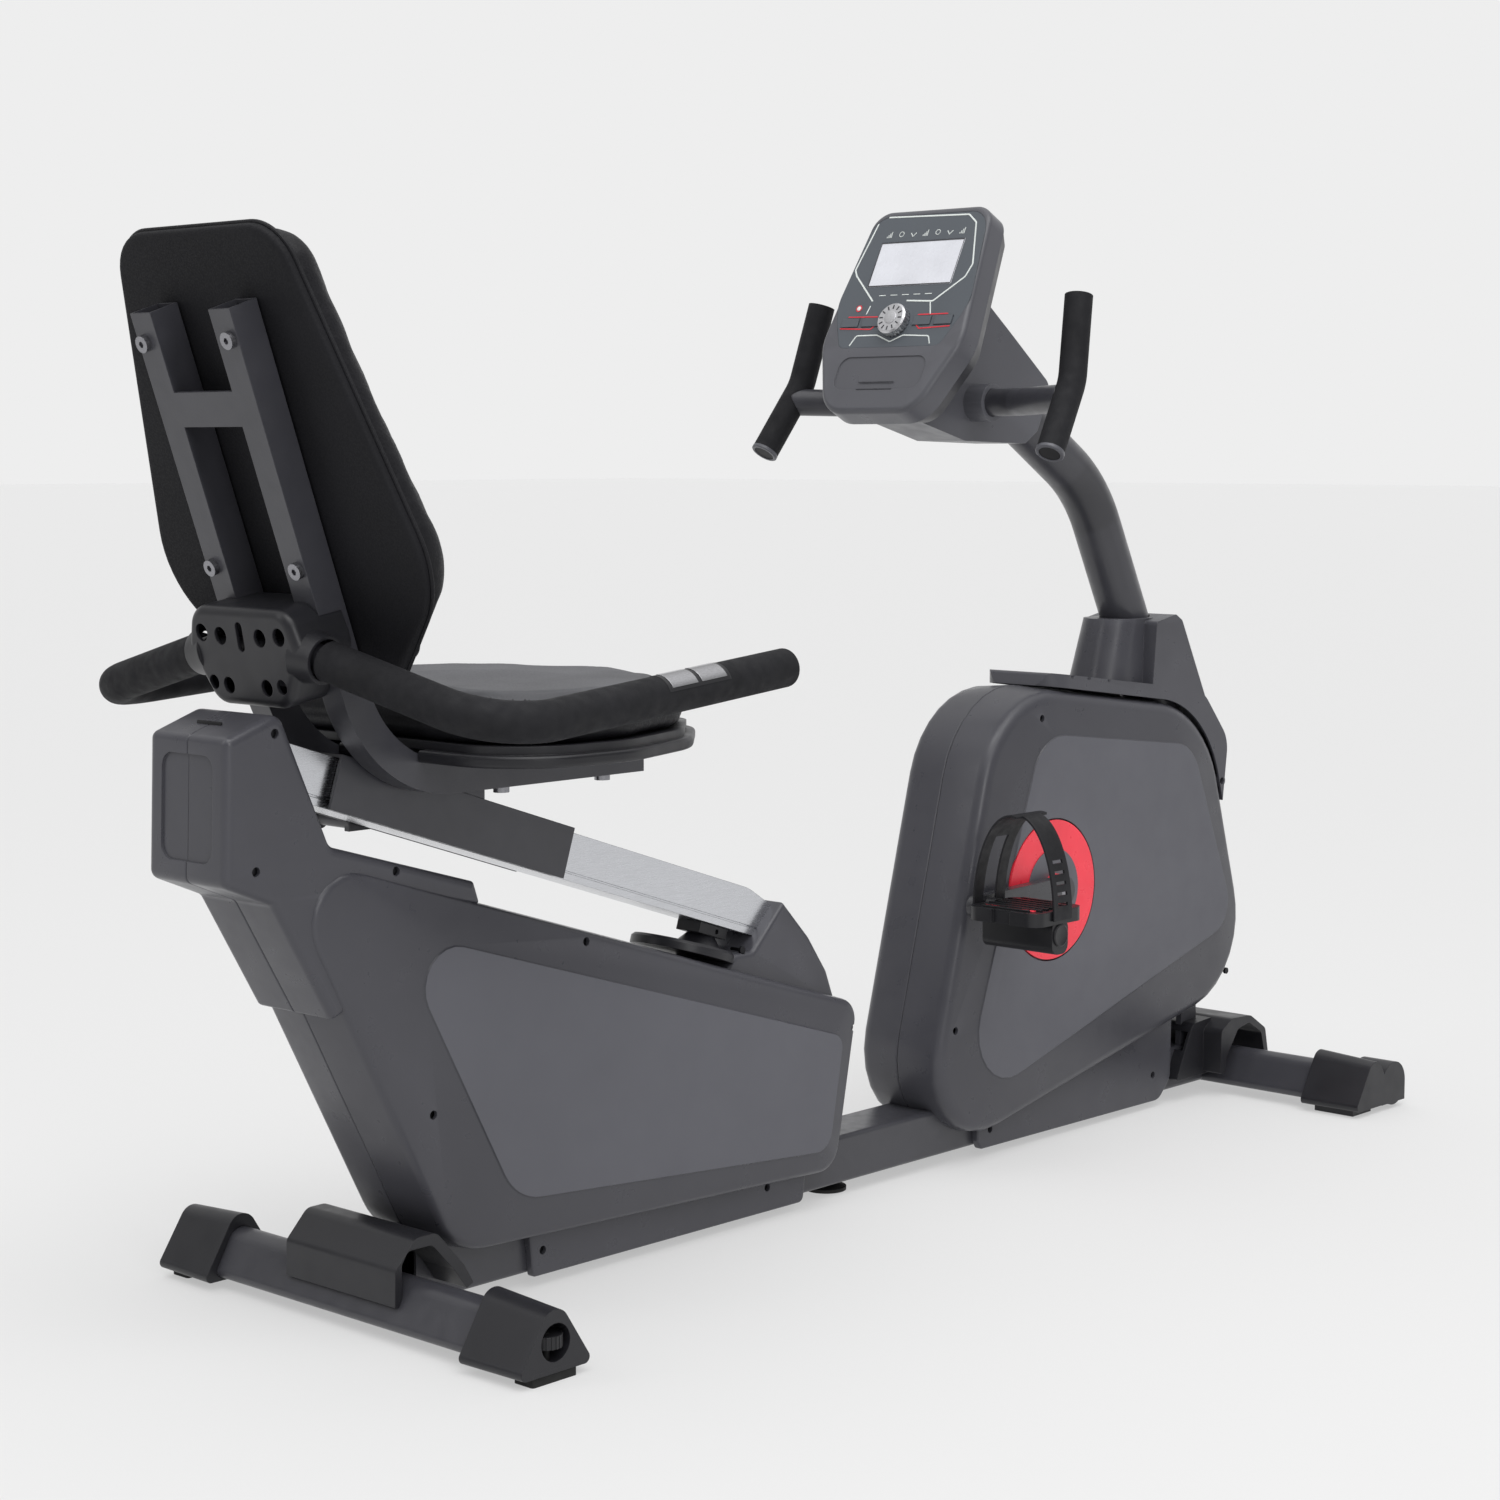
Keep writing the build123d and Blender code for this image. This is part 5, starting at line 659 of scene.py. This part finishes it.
def seat_cushion():
    """Moulded seat: black skirt, welted seam and a lighter dished top."""
    stations = [
        plan_ring(rounded(SEAT, SEAT_RADII, inset), z)
        for inset, z in ((7, 573), (5, 586), (7, 603), (15, 614), (40, 618))
    ]
    mesh = stacked("seat_cushion_top", stations, [5, 8, 8, 8], 4)
    piece = add_piece("seat_cushion_top", mesh, "seat_carriage", looks["seat_cover"])
    points = settle(cushion_sim(piece), piece.data)
    set_points(piece, points)
    subdivide(piece)
    points = np.array([v.co[:] for v in piece.data.vertices])
    plan = points[:, :2] / MM - np.array([DATUM_X, 0.0])
    edge = to_outline(plan, rounded(SEAT, SEAT_RADII, 0.0, 6))
    z = points[:, 2] / MM
    top = np.clip((z - 596) / 12, 0, 1)
    along = (plan[:, 0] - SEAT_MID[0]) / SEAT_HALF_LENGTH
    across = plan[:, 1] / SEAT_HALF_WIDTH
    dish = 9.0 * np.exp(-((along + 0.25) / 0.5) ** 2 - (across / 0.55) ** 2)
    wings = 3.5 * np.exp(-((np.abs(across) - 0.62) / 0.22) ** 2) * np.exp(-((along + 0.2) / 0.6) ** 2)
    front_fall = 20.0 * np.clip((along - 0.4) / 0.6, 0, 1) ** 1.5 * np.clip(np.abs(across) / 0.35, 0, 1)
    z = z + top * (wings - dish - front_fall)
    groove = np.exp(-((edge - SEAT_SEAM) / 2.2) ** 2) * top
    welt = sum(np.exp(-((edge - SEAT_SEAM - off) / 2.4) ** 2) for off in (4.5, -4.5)) * top
    z = z - 3.0 * groove + 0.7 * welt
    side = np.clip((606 - z) / 6, 0, 1) * np.clip((z - 574) / 4, 0, 1)
    curve = 588 + 6 * np.sin(np.pi * np.clip((along + 1) / 2, 0, 1))
    crease = np.exp(-((z - curve) / 1.8) ** 2) * side
    outward = plan - SEAT_MID
    outward /= np.maximum(np.linalg.norm(outward, axis=1, keepdims=True), 1e-6)
    points[:, :2] -= outward * (crease * 1.8 * MM)[:, None]
    points[:, 2] = np.minimum(z, SEAT_TOP) * MM
    set_points(piece, points)
    piece.data.materials.append(looks["seat_top"])
    middle = np.array([p.center[:] for p in piece.data.polygons])
    where = middle[:, :2] / MM - np.array([DATUM_X, 0.0])
    gap = to_outline(where, rounded(SEAT, SEAT_RADII, 0.0, 6))
    for polygon, far, height in zip(piece.data.polygons, gap, middle[:, 2] / MM):
        if far > SEAT_SEAM and height > 594:
            polygon.material_index = 1
    piece.data.polygons.foreach_set("use_smooth", [True] * len(piece.data.polygons))
    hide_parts("seat_cushion")


BACK = [(115, 92), (198, -244), (96, -354), (-96, -354), (-198, -244), (-115, 92)]
BACK_RADII = [48, 90, 62, 62, 90, 48]


def back_ring(ring, depth):
    """An outline drawn on the backrest, as points in the frame."""
    return [back(p.x, p.y, depth) for p in ring]


def back_depth(points):
    """Depth, across and along of points, measured by the backrest, in mm."""
    lean = math.radians(BACK_LEAN)
    x = points[:, 0] / MM - DATUM_X - BACK_X
    z = points[:, 2] / MM - BACK_Z
    depth = x * math.cos(lean) + z * math.sin(lean)
    along = -x * math.sin(lean) + z * math.cos(lean)
    return depth, points[:, 1] / MM, along


def back_cushion():
    """Backrest pad: lumbar crown, one sewn channel across the front and a welted rim."""
    stations = [
        back_ring(rounded(BACK, BACK_RADII, inset), depth)
        for inset, depth in ((6, 45.5), (3, 56), (6, 72), (18, 81), (46, 84))
    ]
    mesh = stacked("back_cushion_pad", stations, [4, 8, 10, 8], 4)
    piece = add_piece("back_cushion_pad", mesh, "seat_carriage", looks["seat_cover"])
    points = settle(cushion_sim(piece), piece.data)
    set_points(piece, points)
    subdivide(piece)
    points = np.array([v.co[:] for v in piece.data.vertices])
    depth, across, along = back_depth(points)
    flat = np.stack([across, along], axis=1)
    edge = to_outline(flat, rounded(BACK, BACK_RADII, 0.0, 6))
    front = np.clip((depth - 70) / 10, 0, 1)
    push = -2.6 * np.exp(-((edge - 26) / 2.2) ** 2)
    push = push + 0.7 * np.exp(-((edge - 31) / 2.6) ** 2)
    lumbar = 7.0 * np.exp(-((along + 210) / 90) ** 2) * np.exp(-(across / 110) ** 2)
    channel = -2.6 * np.exp(-((along + 95) / 2.4) ** 2) * np.clip((edge - 26) / 4, 0, 1)
    push = (push + lumbar + channel) * front
    lean = math.radians(BACK_LEAN)
    points += push[:, None] * MM * np.array([math.cos(lean), 0.0, math.sin(lean)])
    set_points(piece, points)
    piece.data.polygons.foreach_set("use_smooth", [True] * len(piece.data.polygons))
    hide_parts("backrest_cushion")


PIPING = 2.3              # radius of the piping


def back_shell():
    """Upholstered rear of the backrest, with piping round its edge."""
    stations = [
        back_ring(rounded(BACK, BACK_RADII, inset), depth)
        for inset, depth in ((40, 35.0), (0, 35.0), (-0.5, 46.3), (8, 46.6))
    ]
    mesh = stacked("back_shell", stations, [8.0, 1.5], 6)
    piece = add_piece("back_shell", mesh, "seat_carriage", looks["board_plastic"], 60)
    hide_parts("backrest_board")
    path = back_ring(rounded(BACK, BACK_RADII, -0.5, 14), 45.6)
    rings = []
    forward = (back(0, 0, 1) - back(0, 0, 0)).normalized()
    for k, p in enumerate(path):
        ahead = (path[(k + 1) % len(path)] - path[k - 1]).normalized()
        outward = ahead.cross(forward).normalized()
        rings.append([
            p + (outward * math.cos(a) + forward * math.sin(a)) * PIPING * MM
            for a in (2 * math.pi * i / 10 for i in range(10))
        ])
    rings.append(rings[0])
    piping = ring_mesh("back_piping", rings, caps=False)
    made = bmesh.new()
    made.from_mesh(piping)
    bmesh.ops.remove_doubles(made, verts=made.verts, dist=1e-6)
    made.to_mesh(piping)
    made.free()
    add_piece("back_piping", piping, "seat_carriage", looks["seat_cover"])


seat_cushion()
back_cushion()
back_shell()

# ------------------------------------------------------------------ console printing
PRINT_DEPTH = -0.2        # the faceplate's surface


def ribbon(made, path, width, depth, thick=0.35):
    """A flat line of print along points on the console face."""
    pts = [Vector(p) for p in path]
    rows = []
    for k, p in enumerate(pts):
        ahead = (pts[min(k + 1, len(pts) - 1)] - pts[max(k - 1, 0)]).normalized()
        side = Vector((-ahead.y, ahead.x)) * width / 2
        corners = [(p - side, 0.0), (p - side, thick), (p + side, thick), (p + side, 0.0)]
        rows.append([made.verts.new(face(q.x, q.y, depth + lift)) for q, lift in corners])
    for a, b in zip(rows, rows[1:]):
        for i in range(4):
            j = (i + 1) % 4
            made.faces.new((a[i], a[j], b[j], b[i]))
    made.faces.new(rows[0])
    made.faces.new(list(reversed(rows[-1])))


def printed(name, lines, material, depth=PRINT_DEPTH, body="frame"):
    """One printed layer: lines holds (points on the console face, width)."""
    made = bmesh.new()
    for path, width in lines:
        ribbon(made, path, width, depth)
    bmesh.ops.recalc_face_normals(made, faces=made.faces)
    mesh = bpy.data.meshes.new(name)
    made.to_mesh(mesh)
    made.free()
    return add_piece(name, mesh, body, material, 0)


def smooth_line(points, radius):
    """Console points (y to the left, s up) turned into a rounded line."""
    flat = [Vector((-y, s, 0)) for y, s in points]
    if len(flat) < 3:
        return [p.xy for p in flat]
    return [p.xy for p in arc_path(flat, radius)]


def circle_line(y, s, radius, count=40):
    """A ring on the console face round the point y to the left, s up."""
    turns = [2 * math.pi * k / count for k in range(count + 1)]
    return [Vector((-y + radius * math.cos(a), s + radius * math.sin(a))) for a in turns]


# points (to the left, up), width of the line and radius of its bends
WHITE_LINES = [
    ([(64, 100), (-56, 97), (-70, 86), (-85, 31), (-80, 15), (-44, -15), (-5, -13)], 2.0, 4.0),
    ([(46, -12), (84, 23), (89, 31), (77, 92)], 2.0, 4.0),
    ([(47, -18), (49, -29)], 1.5, 2.0),
    ([(59, -70), (53, -57), (22, -57), (0, -66), (-17, -58), (-55, -60), (-60, -70)], 1.6, 4.0),
    ([(-41, -16), (-47, -32)], 1.5, 2.0),
]
RED_LINES = [
    ([(75, -32), (30, -33)], 1.5, 2.0),
    ([(82, -47), (35, -49), (27, -41)], 1.5, 2.0),
    ([(-29, -32), (-73, -32)], 1.5, 2.0),
    ([(-27, -42), (-37, -50), (-81, -48)], 1.5, 2.0),
]
for name, table in (("white", WHITE_LINES), ("red", RED_LINES)):
    lines = [(smooth_line(points, radius), width) for points, width, radius in table]
    printed(f"console_print_{name}", lines, looks[f"print_{name}"])

# generic icons above the display and dashes below it: bars, rings and chevrons, no lettering
icons = []
for k in range(7):
    y = 54 - 18 * k
    if k % 3 == 0:
        feet = [-y - 3 + 2 * i for i in range(4)]
        icons += [([Vector((foot, 72)), Vector((foot, 74 + 2 * i))], 1.0) for i, foot in enumerate(feet)]
    elif k % 3 == 1:
        icons.append((circle_line(y, 76, 3.2, 20), 0.8))
    else:
        icons.append(([Vector((-y - 4, 77)), Vector((-y, 72)), Vector((-y + 4, 77))], 1.2))
for k in range(5):
    y = 34 - 17 * k
    icons.append(([Vector((-y - 5, -5)), Vector((-y + 5, -5))], 1.0))
printed("console_icons", icons, looks["print_white"])
printed("console_light_ring", [(circle_line(63, -21, 3.6), 1.4)], looks["print_red"])
knob_axis = face(0, 0, 1) - face(0, 0, 0)
lamp = turned("console_light", face(-63, -21, PRINT_DEPTH), knob_axis, [(0, 2.8), (0.5, 2.8), (0.8, 1.5)], 24)
add_piece("console_light", lamp, "frame", looks["print_white"])

# dark line round the pale display
window = [Vector(p) for p in ((-61, 8), (61, 8), (61, 65), (-61, 65), (-61, 8))]
printed("display_frame", [(window, 1.2)], looks["console_dark"], 0.0)

# dark dashes round the knob's face
dashes = []
for k in range(12):
    a = 2 * math.pi * k / 12
    direction = Vector((math.cos(a), math.sin(a)))
    dashes.append(([Vector((0, KNOB_S)) + direction * reach for reach in (11.0, 16.0)], 1.6))
printed("knob_marks", dashes, looks["console_dark"], 11.4, "knob")
profile = [(0, 8.0), (0.6, 8.0), (0.9, 6.5), (0.5, 0.0)]
dimple = turned("knob_cap", face(0, KNOB_S, 11.3), knob_axis, profile, 40)
add_piece("knob_cap", dimple, "knob", looks["knob_silver"])

# ------------------------------------------------------------------ pedals
def box_mesh(name, centre, size):
    """A box of the given size in mm, along the world axes."""
    made = bmesh.new()
    bmesh.ops.create_cube(made, size=1.0)
    for vert in made.verts:
        vert.co = centre + vert.co * Vector(size) * MM
    mesh = bpy.data.meshes.new(name)
    made.to_mesh(mesh)
    made.free()
    return mesh


def joined(name, meshes, body, material, bevel=0.0):
    """Several small meshes kept as one piece, with a small bevel on its edges."""
    made = bmesh.new()
    for mesh in meshes:
        made.from_mesh(mesh)
    if bevel:
        edges = list(made.edges)
        bmesh.ops.bevel(made, geom=edges, offset=bevel * MM, segments=2, affect="EDGES", profile=0.5)
    mesh = bpy.data.meshes.new(name)
    made.to_mesh(mesh)
    made.free()
    return add_piece(name, mesh, body, material, 35)


for way, side in ((-1, "right"), (1, "left")):
    hub = at(CRANK[0], way * 66.1, CRANK[1])
    disc = turned("hub_disc", hub, (0, way, 0), [(0, 50), (0.5, 50.5), (0.9, 50), (0.9, 24)], 96)
    joined(f"crank_inner_{side}", [disc], "crank", looks["cover_panel"])
    px, py = CRANK[0] + way * CRANK_LENGTH, way * PEDAL_Y
    treads = []
    for k in range(7):
        width = 66 if k in (0, 6) else 84
        treads.append(box_mesh("tread", at(px - 36 + 12 * k, py, 325.9), (4.5, width, 2.6)))
    joined(f"pedal_treads_{side}", treads, f"{side}_pedal", looks["pedal_plastic"], 0.6)
    corners = [(dx, dy) for dx in (-30, 30) for dy in (-26, 26)]
    patches = [box_mesh("patch", at(px + dx, py + dy, 325.2), (5.5, 20, 1.6)) for dx, dy in corners]
    joined(f"pedal_marks_{side}", patches, f"{side}_pedal", looks["disc_red"], 0.4)
    rim = [(-1, 13), (1.6, 13), (2.4, 11.5), (1.8, 10), (1.8, 0)]
    cap = turned("end_cap", at(px, way * 199.0, 296), (0, way, 0), rim, 40)
    joined(f"pedal_end_{side}", [cap], f"{side}_pedal", looks["wheel_plastic"])

# ------------------------------------------------------------------ open ends of the front grips
for way, side in ((-1, "right"), (1, "left")):
    low_end = sided(FRONT_GRIP_END, way)
    down = (low_end - sided(FRONT_GRIP_BEND, way)).normalized()
    rim = turned("rim", low_end, down, [(-3, 16.4), (0.4, 16.4), (1.2, 15.4), (1.2, 12.5), (-3, 12.5)], 40)
    joined(f"grip_rim_{side}", [rim], "frame", looks["console_plastic"])
    # a black disc painted in as the shade inside the open end of the tube
    bore = turned("bore", low_end, down, [(-1, 12.6), (0.5, 12.6)], 32)
    joined(f"grip_bore_shade_{side}", [bore], "frame", looks["hole_black"])

# ------------------------------------------------------------------ dark lines on the console's chin
for k, height in enumerate((-118, -127)):
    line = [Vector((-26, height)), Vector((26, height))]
    printed(f"chin_line_{k}", [(line, 1.2)], looks["console_dark"], 0.05)

# ------------------------------------------------------------------ pulse plates
def plate_arc(name, centre, axis, middle, half_angle, length, low, high):
    """A curved plate lying on a round bar."""
    across = axis.cross(middle).normalized()
    rings = []
    for radius in (low, high):
        for step in (-1, 1):
            rings.append([
                centre + axis * length / 2 * step * MM
                + (middle * math.cos(a) + across * math.sin(a)) * radius * MM
                for a in (math.radians(half_angle) * (k / 8 - 1) for k in range(17))
            ])
    inner_a, inner_b, outer_a, outer_b = rings
    return ring_mesh(name, [inner_a, inner_b, outer_b, outer_a, inner_a], closed=False, caps=False)


plates, bezels = [], []
for way in (-1, 1):
    end_point = sided(GRIP_END, way)
    forward = (end_point - sided(GRIP_BEND, way)).normalized()
    outward = Vector((0, way * 0.55, 1.0))
    up = (outward - forward * forward.dot(outward)).normalized()
    for reach in (165.0, 123.0):
        spot = end_point - forward * reach * MM
        plates.append(plate_arc("plate", spot, forward, up, 36, 36, 18.6, 19.9))
    bezels.append(plate_arc("bezel", end_point - forward * 144 * MM, forward, up, 46, 88, 18.2, 19.4))
plate_piece = joined("pulse_plates", plates, "seat_carriage", looks["sensor_chrome"])
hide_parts("pulse_sensors")
joined("pulse_bezels", bezels, "seat_carriage", looks["wheel_plastic"])

# ------------------------------------------------------------------ tower slot
# a black box painted in as the shade inside the slot
slot = box_mesh("tower_slot_shade", at(-128, 0, 597.5), (2.0, 36, 5))
joined("tower_slot_shade", [slot], "frame", looks["hole_black"], 0.6)

# ------------------------------------------------------------------ stage, light, camera
floor_mesh = bpy.data.meshes.new("floor")
floor_mesh.from_pydata([(-60, -60, 0), (60, -60, 0), (60, 60, 0), (-60, 60, 0)], [], [(0, 1, 2, 3)])
floor = bpy.data.objects.new("floor", floor_mesh)
floor.location.z = -0.0002
bpy.context.scene.collection.objects.link(floor)
# the floor glows a little, so that it meets the backdrop without a line
pale = Shader("pale_floor", (0.32, 0.32, 0.32), 0.9, Emission_Strength=0.445)
pale.bsdf.inputs["Emission Color"].default_value = (1, 1, 1, 1)
floor_mesh.materials.append(pale.material)

scene = bpy.context.scene
scene.view_settings.view_transform = "Standard"
world = bpy.data.worlds.new("studio")
scene.world = world
world.use_nodes = True
sky = world.node_tree.nodes
sky_links = world.node_tree.links
sky_place = sky.new("ShaderNodeTexCoord")
sky_split = sky.new("ShaderNodeSeparateXYZ")
sky_links.new(sky_place.outputs["Generated"], sky_split.inputs["Vector"])
BACKDROP = 0.855
HEADING = math.radians(42.55)
PITCH = math.radians(5.95)


def sky_profile(stops):
    """Grey tones of the world by the height of the direction looked in."""
    node = sky.new("ShaderNodeValToRGB")
    ramp = node.color_ramp
    while len(ramp.elements) < len(stops):
        ramp.elements.new(0.5)
    for element, (place, value) in zip(ramp.elements, stops):
        element.position = place
        element.color = (value, value, value, 1)
    sky_links.new(sky_split.outputs["Z"], node.inputs["Fac"])
    return node.outputs["Color"]


def sky_math(operation, a, b):
    """One sum in the world's nodes, of numbers or of sockets."""
    node = sky.new("ShaderNodeMath")
    node.operation = operation
    for socket, value in zip(node.inputs, (a, b)):
        if isinstance(value, float):
            socket.default_value = value
        else:
            sky_links.new(value, socket)
    return node.outputs[0]


# the half ahead of the camera is the pale backdrop, and the half behind it lights the object
ahead = sky_math(
    "ADD",
    sky_math("MULTIPLY", sky_split.outputs["X"], math.cos(HEADING)),
    sky_math("MULTIPLY", sky_split.outputs["Y"], math.sin(HEADING)),
)
sky_side = sky.new("ShaderNodeMapRange")
sky_side.inputs["From Min"].default_value = 0.1
sky_side.inputs["From Max"].default_value = 0.6
sky_links.new(ahead, sky_side.inputs["Value"])
sky_mix = sky.new("ShaderNodeMix")
sky_mix.data_type = "RGBA"
sky_links.new(sky_side.outputs["Result"], sky_mix.inputs["Factor"])
behind = [(0.0, 0.24), (0.25, 0.18), (0.50, 0.35), (0.78, 1.1), (1.0, 1.5)]
in_front = [(0.0, BACKDROP), (0.24, BACKDROP), (0.42, 0.45), (0.70, 0.8), (1.0, 1.2)]
sky_links.new(sky_profile(behind), sky_mix.inputs[6])
sky_links.new(sky_profile(in_front), sky_mix.inputs[7])
sky_links.new(sky_mix.outputs[2], sky["Background"].inputs["Color"])


def softbox(name, place, target, size, power):
    """A rectangular lamp, placed and aimed in metres."""
    lamp = bpy.data.lights.new(name, "AREA")
    lamp.shape = "RECTANGLE"
    lamp.size, lamp.size_y = size
    lamp.energy = power
    holder = bpy.data.objects.new(name, lamp)
    scene.collection.objects.link(holder)
    holder.location = place
    holder.rotation_euler = (Vector(target) - Vector(place)).to_track_quat("-Z", "Y").to_euler()


def sunlight(name, turn, strength, spread):
    lamp = bpy.data.lights.new(name, "SUN")
    lamp.energy = strength
    lamp.angle = math.radians(spread)
    holder = bpy.data.objects.new(name, lamp)
    scene.collection.objects.link(holder)
    holder.rotation_euler = [math.radians(a) for a in turn]


sunlight("key", (28, -18, 0), 0.7, 50)
softbox("overhead", (-0.6, -1.0, 3.2), (0.0, 0.0, 0.5), (2.6, 1.2), 18.0)
softbox("left_rear", (-2.8, 1.2, 1.9), (-0.3, 0.0, 0.6), (0.6, 1.6), 7.0)
softbox("right_rear", (-1.6, -2.9, 1.5), (-0.5, 0.0, 0.4), (1.2, 1.2), 20.0)

lens = bpy.data.cameras.new("camera")
lens.lens = 69.0
lens.sensor_width = 36.0
lens.clip_end = 200
camera = bpy.data.objects.new("camera", lens)
scene.collection.objects.link(camera)
camera.location = at(-1715.4, -2125.2, 845.0)
level = math.cos(PITCH)
look = Vector((math.cos(HEADING) * level, math.sin(HEADING) * level, -math.sin(PITCH)))
camera.rotation_euler = look.to_track_quat("-Z", "Y").to_euler()
scene.camera = camera

# ------------------------------------------------------------------ what stands for what
for side in ("right", "left"):
    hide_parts(f"rear_cover_{side}")
    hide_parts(f"drive_cover_{side}")
    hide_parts(f"tower_cover_{side}")
